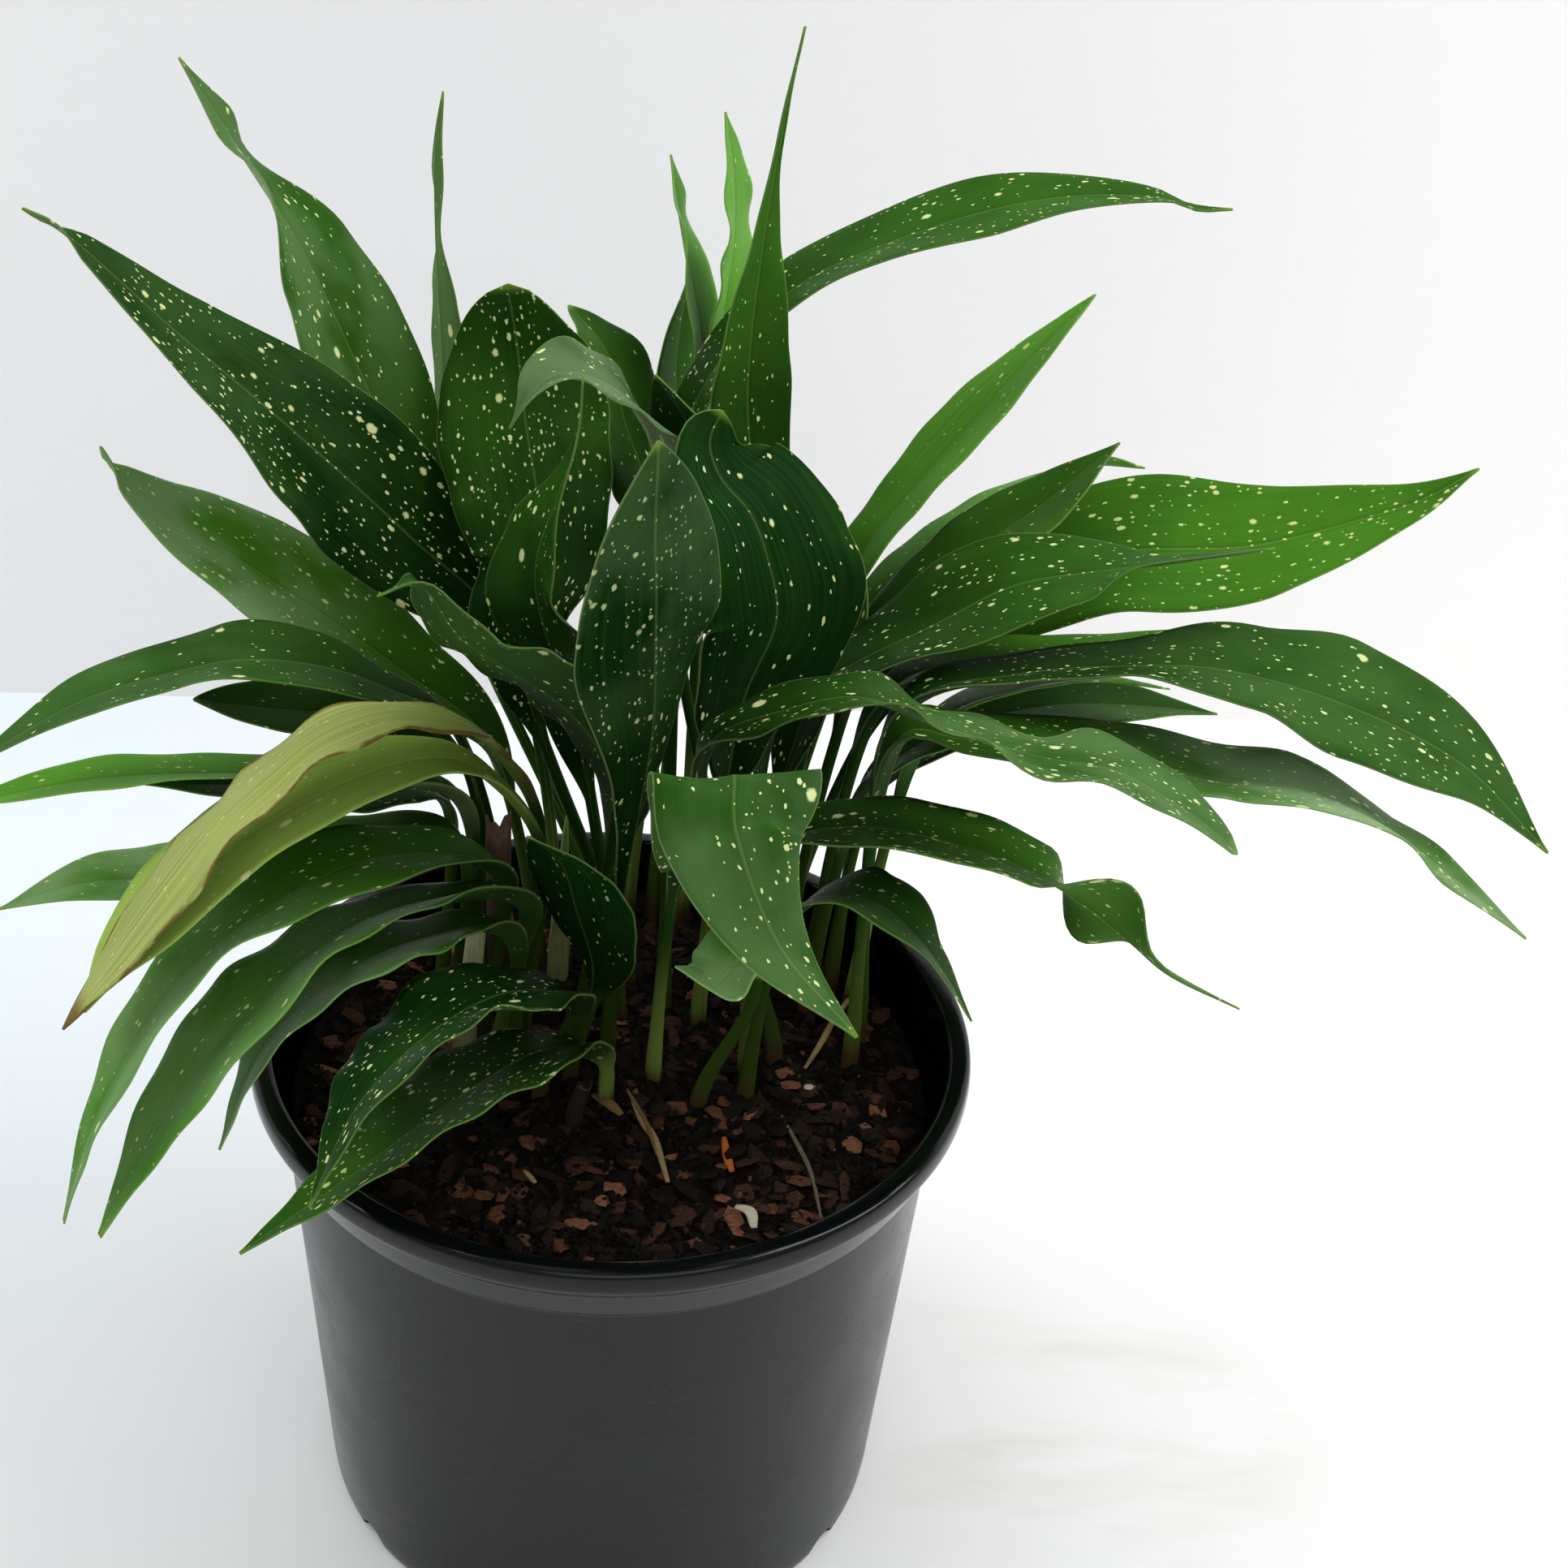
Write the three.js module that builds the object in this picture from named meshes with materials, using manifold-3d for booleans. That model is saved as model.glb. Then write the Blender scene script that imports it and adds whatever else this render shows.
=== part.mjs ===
// A cast iron plant in a black plastic nursery pot: pot, soil, and one solid for each leaf with its stalk.
// Millimetres, +Z up. The origin is the middle of the pot's underside.
import * as THREE from 'three';
import { mergeVertices } from 'three/addons/utils/BufferGeometryUtils.js';
import Module from 'manifold-3d';

const wasm = await Module();
wasm.setup();

// The pot
const POT_HEIGHT = 155;
const RIM_RADIUS = 100;
const RIM_WIDEST = 151;
const LIP_RADIUS = 94;
const BAND_TOP = 147;
const BAND_BOTTOM = 135;
const BAND_STEP = 2;
const NECK_RADIUS = 91;
const BASE_RADIUS = 82;
const BASE_CORNER = 8;
const WALL = 1.5;
const FLOOR = 3;
const POT_SIDES = 56;

// Drain slots through the corner of the pot's base
const SLOTS = 10;
const SLOT_WIDTH = 12;
const SLOT_HEIGHT = 7;
const SLOT_REACH = 12;
const SLOT_SIDES = 12;

// The soil, a low mound that fills the pot to a finger's width under the lip
const SOIL_EDGE = 134;
const SOIL_MIDDLE = 139;
const SOIL_LUMP = 0.8;
const SOIL_RINGS = 6;
const GAP = 0.3;
const HOLE_BOTTOM = 116;
const HOLE_RADIUS = 3.1;
const HOLE_SIDES = 7;

// The leaves
const STALK_RISE = 26;
const STALK_HALF = 1.9;
const STALK_EDGE = 1.6;
const STALK_THICK = 3.2;
const BLADE_THICK = 0.65;
const RIB_THICK = 1.0;
const TIP_HALF = 0.4;
const STALK_STATIONS = 4;
const BLADE_STATIONS = 14;
const CURVE_STEPS = 40;
const BLADE_DROP = 0.3;
const WIDEST_AT = 0.52;
const BASE_SLIM = 0.6;
const TIP_SLIM = 1.3;
const CHANNEL = 30;
const CHANNEL_END = 0.35;
const FOLD = 7;
const WAVE_HEIGHT = 0.6;
const WAVE_COUNT = 2;
const WAVE_LAG = 0.37;

const { degToRad, clamp, lerp } = THREE.MathUtils;
const smooth = (t) => t * t * (3 - 2 * t);

// One leaf each, a stalk that widens into a blade:
//   foot    where the stalk stands in the soil, across and back
//   route   the rib above the soil, the first point or the one numbered neck being the blade's start
//   heading the way the leaf leans, in degrees from +X, which the blade lies square to
//   width   the blade's greatest width
//   roll    share of the blade and turn about its rib in degrees, blended from key to key
//   widest, base, tip and fold stand in for WIDEST_AT, BASE_SLIM, TIP_SLIM and FOLD in a leaf that differs
const LEAVES = {
  leaf_upright_1: {
    foot: [-5, 76], heading: 140, width: 26, widest: 0.51, tip: 1,
    roll: [[0.58, 65], [0.67, 60], [0.78, 45], [0.88, 60]],
    route: [
      [-45, 130, 223], [-55, 138, 263], [-56, 144, 291],
      [-58, 150, 327], [-58, 152, 353], [-56, 154, 368],
    ],
  },
  leaf_upright_2: {
    foot: [4, 46], heading: 84, width: 50, widest: 0.7, tip: 0.6,
    roll: [[0.59, -20], [0.78, -15]],
    route: [
      [-29, 44, 255], [-23, 56, 271], [-25, 70, 284],
      [-29, 86, 298], [-32, 100, 314], [-35, 104, 331],
    ],
  },
  leaf_upright_3: {
    foot: [16, 71], heading: 110, width: 44, widest: 0.66, tip: 0.9,
    roll: [[0.69, 40]],
    route: [[6, 98, 268], [-2, 111, 288], [-8, 124, 304], [-19, 132, 314]],
  },
  leaf_upright_4: {
    foot: [14, 32], heading: 190, width: 38, widest: 0.62,
    roll: [[0.58, 10], [0.76, 0], [0.86, 5]],
    route: [
      [12, 38, 279], [9, 44, 302], [3, 44, 320], [-8, 38, 332],
      [-18, 30, 337], [-25, 22, 335], [-30, 18, 327],
    ],
  },
  leaf_upright_5: {
    foot: [2, 26], heading: 90, width: 36, widest: 0.53, tip: 2,
    roll: [[0.47, -40], [0.62, -70], [0.81, -85]],
    route: [
      [-13, 22, 245], [-21, 16, 273], [-23, 14, 291],
      [-18, 14, 310], [-13, 16, 326], [-12, 18, 342],
    ],
  },
  leaf_upright_6: {
    foot: [24, 24], heading: 90, width: 54, widest: 0.64, tip: 0.75,
    roll: [[0.53, 35], [0.71, 45]],
    route: [
      [31, 12, 253], [39, 15, 278], [36, 18, 293], [31, 22, 304],
      [23, 26, 312], [20, 30, 320], [23, 34, 327],
    ],
  },
  leaf_upright_7: {
    foot: [28, 42], heading: 90, width: 46, widest: 0.64, tip: 1,
    roll: [[0.67, -50]],
    route: [[32, 50, 264], [25, 52, 292], [16, 52, 313], [6, 50, 329]],
  },
  leaf_upright_8: {
    foot: [30, 58], heading: 90, width: 27, widest: 0.45, tip: 4,
    roll: [[0.44, 40], [0.51, 45], [0.6, 45], [0.69, 50], [0.77, 55]],
    route: [[35, 68, 274], [31, 74, 315], [33, 74, 357], [37, 70, 395], [40, 66, 416]],
  },
  leaf_upright_9: {
    foot: [20, 79], heading: 90, width: 31, widest: 0.65,
    roll: [[0.62, 70], [0.76, 75], [0.87, 70]],
    route: [[24, 134, 289], [26, 138, 312], [28, 142, 333], [27, 144, 351], [24, 146, 368]],
  },
  leaf_upright_10: {
    foot: [11, 80], heading: 100, width: 33, widest: 0.67,
    roll: [[0.67, 65], [0.83, 80], [0.91, 70]],
    route: [[21, 135, 288], [19, 139, 307], [15, 142, 325], [12, 144, 339], [9, 146, 355]],
  },
  leaf_upright_11: {
    foot: [3, 79], heading: 100, width: 38, widest: 0.64,
    roll: [[0.67, 55]],
    route: [[16, 140, 248], [13, 155, 287], [16, 162, 313]],
  },
  leaf_upright_12: {
    foot: [38, 50], heading: 80, width: 36, widest: 0.59,
    roll: [[0.63, -55]],
    route: [[51, 62, 216], [59, 74, 241], [63, 78, 260], [59, 82, 276]],
  },
  leaf_left_1: {
    foot: [-4, 66], heading: 160, width: 50, widest: 0.53, base: 1,
    roll: [[0.4, -5], [0.57, -5], [0.68, 0], [0.84, 35], [0.91, 10]],
    route: [[-47, 98, 229], [-78, 110, 303], [-93, 112, 337], [-106, 110, 361], [-121, 104, 390]],
  },
  leaf_left_2: {
    foot: [-16, 52], heading: 184, width: 46, widest: 0.48,
    roll: [[0.31, -40], [0.44, -40], [0.54, -30], [0.72, -15], [0.83, -10], [0.91, -10], [0.99, 60]],
    route: [
      [-33, 76, 234], [-61, 72, 269], [-92, 62, 306],
      [-117, 52, 335], [-142, 44, 364], [-150, 40, 371],
    ],
  },
  leaf_left_3: {
    foot: [-23, 51], heading: 182, width: 44,
    roll: [[0.43, -15], [0.65, -15], [0.81, -15], [0.92, -15], [0.99, 60]],
    route: [
      [-39, 66, 206], [-62, 66, 228], [-105, 60, 265],
      [-124, 54, 282], [-136, 50, 297], [-138, 48, 304],
    ],
  },
  leaf_left_4: {
    foot: [-10, 18], heading: 190, width: 42, widest: 0.56, base: 0.5,
    roll: [[0.4, 40], [0.56, 40], [0.72, 35], [0.88, 30]],
    route: [
      [-2, 6, 233], [-12, 0, 256], [-26, -8, 272],
      [-40, -18, 288], [-49, -28, 307], [-58, -36, 308],
    ],
  },
  leaf_left_5: {
    foot: [-30, 45], heading: 188, width: 40, widest: 0.57, base: 1.3,
    roll: [[0.44, 5], [0.66, 10], [0.83, 5]],
    route: [
      [-46, 43, 224], [-63, 31, 243], [-79, 23, 254], [-99, 15, 260],
      [-118, 8, 259], [-138, -2, 256], [-165, -18, 245],
    ],
  },
  leaf_left_6: {
    foot: [-37, 40], heading: 188, width: 32, widest: 0.58, base: 1.8, tip: 0.9,
    roll: [[0.62, 0]],
    route: [[-45, 34, 222], [-67, 28, 236], [-88, 22, 241], [-102, 17, 245], [-112, 13, 249]],
  },
  leaf_left_7: {
    foot: [-41, 32], heading: 190, width: 32, widest: 0.65,
    roll: [[0.57, 20], [0.74, 15]],
    route: [
      [-45, 27, 212], [-68, 16, 223], [-100, 9, 229],
      [-135, -2, 233], [-162, -12, 232], [-174, -16, 231],
    ],
  },
  leaf_left_8: {
    foot: [-46, 24], heading: 198, width: 42, widest: 0.56,
    roll: [[0.48, 10], [0.69, 10], [0.87, 5]],
    route: [
      [-45, 20, 202], [-69, 18, 201], [-95, 13, 194],
      [-122, 4, 198], [-142, -4, 201], [-162, -12, 198],
    ],
  },
  leaf_left_9: {
    foot: [-37, 15], heading: 204, width: 42, widest: 0.46,
    roll: [[0.36, 10], [0.55, 20], [0.73, 10]],
    route: [
      [-33, 8, 200], [-56, -7, 215], [-75, -20, 217], [-108, -43, 202],
      [-127, -61, 176], [-134, -65, 158], [-139, -69, 141],
    ],
  },
  leaf_left_10: {
    foot: [-33, 7], heading: 206, width: 42, widest: 0.55,
    roll: [[0.46, 25], [0.64, 10], [0.82, 5]],
    route: [
      [-26, 0, 196], [-51, -14, 205], [-71, -29, 205],
      [-93, -49, 194], [-113, -62, 170], [-129, -74, 141],
    ],
  },
  leaf_left_11: {
    foot: [-28, -1], heading: 208, width: 36,
    roll: [[0.47, 20], [0.74, 20]],
    route: [[-30, -4, 189], [-51, -18, 196], [-70, -34, 196], [-88, -50, 185], [-99, -64, 162]],
  },
  leaf_left_12: {
    foot: [-20, -9], heading: 222, width: 42,
    roll: [[0.36, 10], [0.54, 30], [0.82, 30]],
    route: [[-11, -18, 176], [-28, -38, 194], [-47, -64, 199], [-61, -86, 195], [-71, -104, 179]],
  },
  leaf_left_13: {
    foot: [-2, -14], heading: 218, width: 42, widest: 0.47,
    roll: [[0.33, 20], [0.52, 25], [0.76, 25]],
    route: [[-3, -20, 159], [-18, -36, 174], [-39, -60, 177], [-63, -84, 172], [-89, -100, 160]],
  },
  leaf_left_14: {
    foot: [-12, -2], heading: 220, width: 36,
    roll: [[0.58, 10]],
    route: [[-5, -8, 179], [-10, -12, 203], [-15, -18, 223], [-23, -26, 235]],
  },
  leaf_left_15: {
    foot: [-50, 29], heading: 190, width: 32, widest: 0.55, base: 1,
    roll: [[0.51, 5], [0.75, 10]],
    route: [
      [-49, 37, 204], [-59, 33, 211], [-74, 26, 214],
      [-93, 18, 220], [-110, 9, 225], [-124, 1, 230],
    ],
  },
  leaf_right_1: {
    foot: [34, 68], heading: 20, width: 38, widest: 0.62,
    roll: [[0.46, -10], [0.58, -10], [0.73, 0], [0.83, 0]],
    route: [
      [11, 84, 271], [21, 99, 306], [44, 112, 329], [83, 120, 346],
      [116, 122, 355], [145, 120, 357], [155, 118, 355], [165, 116, 356],
    ],
  },
  leaf_right_2: {
    foot: [44, 58], heading: 40, width: 34, widest: 0.56, base: 0.45, tip: 1,
    roll: [[0.48, -25], [0.63, -25], [0.78, -25]],
    route: [[68, 96, 254], [79, 104, 268], [95, 114, 285], [111, 124, 301], [134, 138, 321]],
  },
  leaf_right_3: {
    foot: [43, 66], heading: 36, width: 30, widest: 0.57,
    roll: [[0.37, -25], [0.6, -35]],
    route: [[71, 102, 232], [94, 124, 247], [120, 144, 256], [145, 158, 258], [161, 162, 255]],
  },
  leaf_right_4: {
    foot: [51, 54], heading: 30, width: 38, widest: 0.66,
    roll: [[0.63, -15], [0.81, -15]],
    route: [[72, 72, 240], [97, 86, 260], [120, 98, 273], [141, 108, 288]],
  },
  leaf_right_5: {
    foot: [50, 62], heading: 14, width: 50, widest: 0.51,
    roll: [[0.39, 15], [0.57, 25], [0.74, 15]],
    route: [
      [84, 89, 220], [135, 100, 254], [184, 101, 260],
      [218, 100, 272], [230, 99, 278], [243, 97, 289],
    ],
  },
  leaf_right_6: {
    foot: [42, 44], heading: 6, width: 44, widest: 0.52,
    roll: [[0.33, -10], [0.54, 5], [0.68, 0], [0.82, -25]],
    route: [
      [43, 34, 238], [62, 38, 251], [84, 44, 261], [106, 50, 271],
      [128, 52, 275], [149, 48, 281], [174, 46, 287],
    ],
  },
  leaf_right_7: {
    foot: [58, 50], heading: 10, width: 34, widest: 0.58,
    roll: [[0.62, -20]],
    route: [[75, 51, 236], [98, 54, 245], [130, 58, 247], [161, 59, 255]],
  },
  leaf_right_8: {
    foot: [71, 22], heading: 0, width: 48, widest: 0.66,
    roll: [[0.41, -15], [0.58, 0], [0.7, 15], [0.87, 25]],
    route: [
      [76, 17, 251], [104, 23, 258], [130, 26, 260], [158, 23, 262],
      [190, 16, 257], [223, 6, 245], [246, -8, 227],
    ],
  },
  leaf_right_9: {
    foot: [70, 36], heading: 10, width: 40, widest: 0.59,
    roll: [[0.63, -25]],
    route: [[89, 58, 220], [113, 61, 232], [134, 64, 234], [156, 64, 232]],
  },
  leaf_right_10: {
    foot: [64, 44], heading: 10, width: 44, widest: 0.61,
    roll: [[0.65, -10]],
    route: [[75, 66, 192], [98, 74, 210], [124, 79, 216], [152, 83, 215], [176, 83, 213]],
  },
  leaf_right_11: {
    foot: [68, 10], heading: -4, width: 38,
    roll: [[0.45, -5], [0.58, -10], [0.68, -10], [0.78, -15], [0.87, 10]],
    route: [
      [74, 0, 253], [87, -1, 252], [104, -1, 251], [135, 1, 246], [157, 0, 242],
      [177, -5, 243], [199, -10, 236], [221, -16, 222], [240, -22, 209],
    ],
  },
  leaf_right_12: {
    foot: [46, 10], heading: -14, width: 36, widest: 0.67, tip: 0.5,
    roll: [[0.35, 0], [0.53, -25], [0.63, -25], [0.77, -10], [0.88, -10]],
    route: [
      [22, -8, 251], [41, -14, 267], [59, -20, 275], [77, -26, 272], [92, -32, 270],
      [104, -38, 270], [119, -44, 271], [132, -50, 267], [144, -56, 261], [149, -58, 257],
    ],
  },
  leaf_right_13: {
    foot: [57, 36], heading: 0, width: 26, widest: 0.58,
    roll: [[0.62, -10]],
    route: [[67, 36, 206], [77, 33, 226], [92, 34, 233], [111, 35, 226]],
  },
  leaf_right_14: {
    foot: [38, 2], heading: -18, width: 42, widest: 0.5, tip: 1.5,
    roll: [[0.33, -10], [0.5, -15], [0.62, -20], [0.75, -75], [0.83, -30]],
    route: [
      [40, -16, 226], [61, -24, 239], [89, -34, 240], [109, -42, 236],
      [128, -50, 225], [138, -54, 218], [156, -60, 212],
    ],
  },
  leaf_right_15: {
    foot: [38, -9], heading: -44, width: 32, widest: 0.54,
    roll: [[0.42, 0], [0.63, -20], [0.83, -35]],
    route: [
      [44, -15, 199], [51, -22, 215], [58, -32, 223],
      [67, -40, 226], [79, -50, 219], [90, -56, 203],
    ],
  },
  leaf_front_1: {
    foot: [-1, 10], heading: 270, width: 42, widest: 0.61, base: 1.3, tip: 1,
    roll: [[0.43, 55], [0.61, 35], [0.87, 40]],
    route: [[1, -6, 205], [4, -12, 234], [7, -20, 264], [7, -36, 305], [6, -50, 335], [6, -66, 364]],
  },
  leaf_front_2: {
    foot: [12, -4], heading: -46, width: 41, widest: 0.5, base: 1.3, tip: 1.1, fold: -9,
    roll: [[0.42, -17], [0.64, -20], [0.72, 12], [0.95, -8]],
    route: [
      [16, -20, 220], [24, -47, 247], [26, -72, 284],
      [26, -94, 283], [36, -110, 264], [53, -128, 253],
    ],
  },
  leaf_front_3: {
    foot: [24, -13], neck: 2, heading: 200, width: 24, widest: 0.68,
    roll: [[0.7, 10]],
    route: [
      [36, -18, 176], [37, -26, 195], [35, -36, 209],
      [30, -46, 211], [25, -52, 209], [15, -54, 216],
    ],
  },
  leaf_yellowing_1: {
    material: 'yellowLeaf',
    foot: [-28, 26], neck: 1, heading: 196, width: 30, widest: 0.66, base: 0.8, tip: 1, fold: -6,
    roll: [[0.37, 10], [0.58, 10], [0.79, 0]],
    route: [
      [-22, 17, 212], [-33, 9, 239], [-43, 0, 253], [-59, -8, 260], [-75, -18, 259],
      [-88, -28, 252], [-99, -36, 244], [-113, -45, 228], [-126, -51, 210], [-137, -57, 194],
    ],
  },
  leaf_yellowing_2: {
    foot: [-26, 17], neck: 1, heading: 196, width: 38, widest: 0.67, base: 1, tip: 1,
    roll: [[0.46, 0], [0.67, 0], [0.83, -5]],
    route: [
      [-21, 8, 210], [-33, 4, 232], [-45, -3, 243], [-59, -9, 244], [-75, -16, 240],
      [-89, -22, 234], [-102, -29, 226], [-114, -37, 217], [-126, -44, 205], [-133, -50, 194],
    ],
  },
};

// Rolled young leaves and the cut stubs of old stalks: foot, top, radius at both ends, raggedness of the top
const STEMS = {
  shoot_1: { foot: [-17, 43], top: [-15, 50, 192], radius: 3.2, tip: 0.5, ragged: 0, material: 'youngLeaf' },
  shoot_2: { foot: [-7, 36], top: [-5, 40, 190], radius: 2.8, tip: 0.5, ragged: 0, material: 'youngLeaf' },
  stub_1: { foot: [-33, 22], top: [-33, 24, 206], radius: 3.0, tip: 3.6, ragged: 5, material: 'dryStalk' },
  stub_2: { foot: [-42, 7], top: [-38, 12, 182], radius: 3.4, tip: 2.6, ragged: 2, material: 'paleStalk' },
  stub_3: { foot: [-10, -21], top: [-7, -21, 152], radius: 2.6, tip: 2.0, ragged: 2, material: 'dryStalk' },
};
const STEM_FOOT = 2.3;
const STEM_RINGS = 4;
const CORNERS = 6;

const MATERIALS = {
  potPlastic: new THREE.MeshStandardMaterial({ color: 0x2e3033, roughness: 0.38, metalness: 0 }),
  soil: new THREE.MeshStandardMaterial({ color: 0x2b1f19, roughness: 0.95, metalness: 0 }),
  leaf: new THREE.MeshStandardMaterial({ color: 0x2f6b34, roughness: 0.35, metalness: 0 }),
  yellowLeaf: new THREE.MeshStandardMaterial({ color: 0xa9b26b, roughness: 0.5, metalness: 0 }),
  youngLeaf: new THREE.MeshStandardMaterial({ color: 0x6f9a4a, roughness: 0.45, metalness: 0 }),
  dryStalk: new THREE.MeshStandardMaterial({ color: 0x6b4630, roughness: 0.8, metalness: 0 }),
  paleStalk: new THREE.MeshStandardMaterial({ color: 0xa8b183, roughness: 0.6, metalness: 0 }),
};

function soilHeight(x, y) {
  const reach = Math.hypot(x, y) / NECK_RADIUS;
  const lumps = Math.sin(x / 9 + 1) * Math.cos(y / 11) + Math.sin((x + y) / 17);
  return SOIL_EDGE + (SOIL_MIDDLE - SOIL_EDGE) * (1 - reach * reach) + SOIL_LUMP * lumps;
}

// Solids joined and cut
function toSolid(geometry) {
  const bare = geometry.clone();
  bare.deleteAttribute('normal');
  bare.deleteAttribute('uv');
  const merged = mergeVertices(bare);
  const corners = merged.index.array;
  const faces = [];
  for (let i = 0; i < corners.length; i += 3) {
    const [a, b, c] = corners.subarray(i, i + 3);
    if (a !== b && b !== c && c !== a) {
      faces.push(a, b, c);
    }
  }
  return new wasm.Manifold(new wasm.Mesh({
    numProp: 3,
    vertProperties: new Float32Array(merged.attributes.position.array),
    triVerts: new Uint32Array(faces),
  }));
}

function fromSolid(solid) {
  const mesh = solid.getMesh();
  const geometry = new THREE.BufferGeometry();
  geometry.setAttribute('position', new THREE.BufferAttribute(mesh.vertProperties, mesh.numProp));
  geometry.setIndex(new THREE.BufferAttribute(mesh.triVerts, 1));
  return geometry;
}

// Turns a profile of [radius, height] points about the pot's axis, with +Z up
function turned(profile, sides) {
  const points = profile.map(([radius, height]) => new THREE.Vector2(radius, height));
  return new THREE.LatheGeometry(points, sides).rotateX(Math.PI / 2);
}

// The pot's inner wall at a height: radius of the tapered body, less the wall
function innerRadius(height) {
  const share = (height - BASE_CORNER) / (BAND_BOTTOM - BASE_CORNER);
  return lerp(BASE_RADIUS, NECK_RADIUS, share) - WALL;
}

function potGeometry() {
  const corner = [];
  for (let i = 0; i <= 3; i += 1) {
    const turn = (i / 3) * (Math.PI / 2);
    corner.push([
      BASE_RADIUS - BASE_CORNER * (1 - Math.sin(turn)),
      BASE_CORNER * (1 - Math.cos(turn)),
    ]);
  }
  const profile = [
    [0, 0],
    ...corner,
    [NECK_RADIUS, BAND_BOTTOM - 2],
    [NECK_RADIUS + BAND_STEP / 2, BAND_BOTTOM - 0.5],
    [NECK_RADIUS + BAND_STEP + 0.5, BAND_BOTTOM + 2],
    [RIM_RADIUS - 4, BAND_TOP - 3],
    [RIM_RADIUS - 3.2, BAND_TOP - 1],
    [RIM_RADIUS - 1.8, BAND_TOP],
    [RIM_RADIUS - 0.4, RIM_WIDEST - 2],
    [RIM_RADIUS, RIM_WIDEST],
    [RIM_RADIUS - 1, POT_HEIGHT - 1.4],
    [RIM_RADIUS - 3, POT_HEIGHT],
    [LIP_RADIUS + 0.7, POT_HEIGHT - 0.3],
    [LIP_RADIUS - 0.4, POT_HEIGHT - 2],
    [NECK_RADIUS + 1, BAND_BOTTOM + 3],
    [innerRadius(BAND_BOTTOM - 2), BAND_BOTTOM - 2],
    [innerRadius(BASE_CORNER + 1), BASE_CORNER + 1],
    [BASE_RADIUS - BASE_CORNER + 1, FLOOR],
    [0, FLOOR],
  ];
  let pot = toSolid(turned(profile, POT_SIDES));
  for (let i = 0; i < SLOTS; i += 1) {
    pot = pot.subtract(toSolid(slotGeometry((i / SLOTS) * 2 * Math.PI)));
  }
  return fromSolid(pot);
}

// An arched slot lying along a radius, open at the underside and at the wall
function slotGeometry(turn) {
  const slot = new THREE.CylinderGeometry(SLOT_WIDTH / 2, SLOT_WIDTH / 2, SLOT_REACH, SLOT_SIDES);
  slot.rotateZ(Math.PI / 2);
  slot.translate(BASE_RADIUS, 0, SLOT_HEIGHT - SLOT_WIDTH / 2);
  return slot.rotateZ(turn);
}

function soilGeometry() {
  const edge = innerRadius(SOIL_EDGE - 2) - GAP;
  const profile = [
    [0, FLOOR + GAP],
    [BASE_RADIUS - BASE_CORNER, FLOOR + GAP],
    [innerRadius(BASE_CORNER + 1) - GAP, BASE_CORNER + 1.6],
    [edge, SOIL_EDGE - 2],
  ];
  for (let i = SOIL_RINGS; i >= 0; i -= 1) {
    profile.push([(edge * i) / SOIL_RINGS, POT_HEIGHT]);
  }
  const soil = turned(profile, POT_SIDES);
  const position = soil.attributes.position;
  for (let i = 0; i < position.count; i += 1) {
    if (position.getZ(i) > POT_HEIGHT - GAP) {
      position.setZ(i, soilHeight(position.getX(i), position.getY(i)));
    }
  }
  return soil;
}

function holeGeometry([x, y]) {
  const height = POT_HEIGHT - HOLE_BOTTOM;
  const hole = new THREE.CylinderGeometry(HOLE_RADIUS, HOLE_RADIUS, height, HOLE_SIDES);
  return hole.rotateX(Math.PI / 2).translate(x, y, HOLE_BOTTOM + height / 2);
}

// A value that runs smoothly through [share, value] keys and holds the end values outside them
function keyed(keys, share) {
  let value = keys[0][1];
  for (let i = 1; i < keys.length; i += 1) {
    const [from, start] = keys[i - 1];
    const [to, end] = keys[i];
    if (share >= from) {
      value = lerp(start, end, smooth(clamp((share - from) / (to - from), 0, 1)));
    }
  }
  return value;
}

// The blade's outline: 0 at both ends and 1 where it is widest, slimmer at either end for a greater power
function outline(share, widest, base, tip) {
  const rise = Math.min(share / widest, 1);
  const fall = Math.min((1 - share) / (1 - widest), 1);
  return (smooth(rise) ** base) * ((fall * (2 - fall)) ** tip);
}

// The rib's curve, with the places along it of the hole's mouth and the blade's start below the neck
function ribCurve({ foot, route, neck = 0 }) {
  const [x, y] = foot;
  const points = [[x, y, HOLE_BOTTOM + GAP], [x, y, HOLE_BOTTOM + STALK_RISE], ...route];
  const curve = new THREE.CatmullRomCurve3(points.map((point) => new THREE.Vector3(...point)));
  curve.arcLengthDivisions = CURVE_STEPS * (points.length - 1);
  const lengths = curve.getLengths();
  const shareAt = (point) => lengths[CURVE_STEPS * point] / lengths[lengths.length - 1];
  const mouth = shareAt(1);
  return { curve, mouth, bladeStart: lerp(shareAt(neck + 2), mouth, BLADE_DROP) };
}

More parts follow.
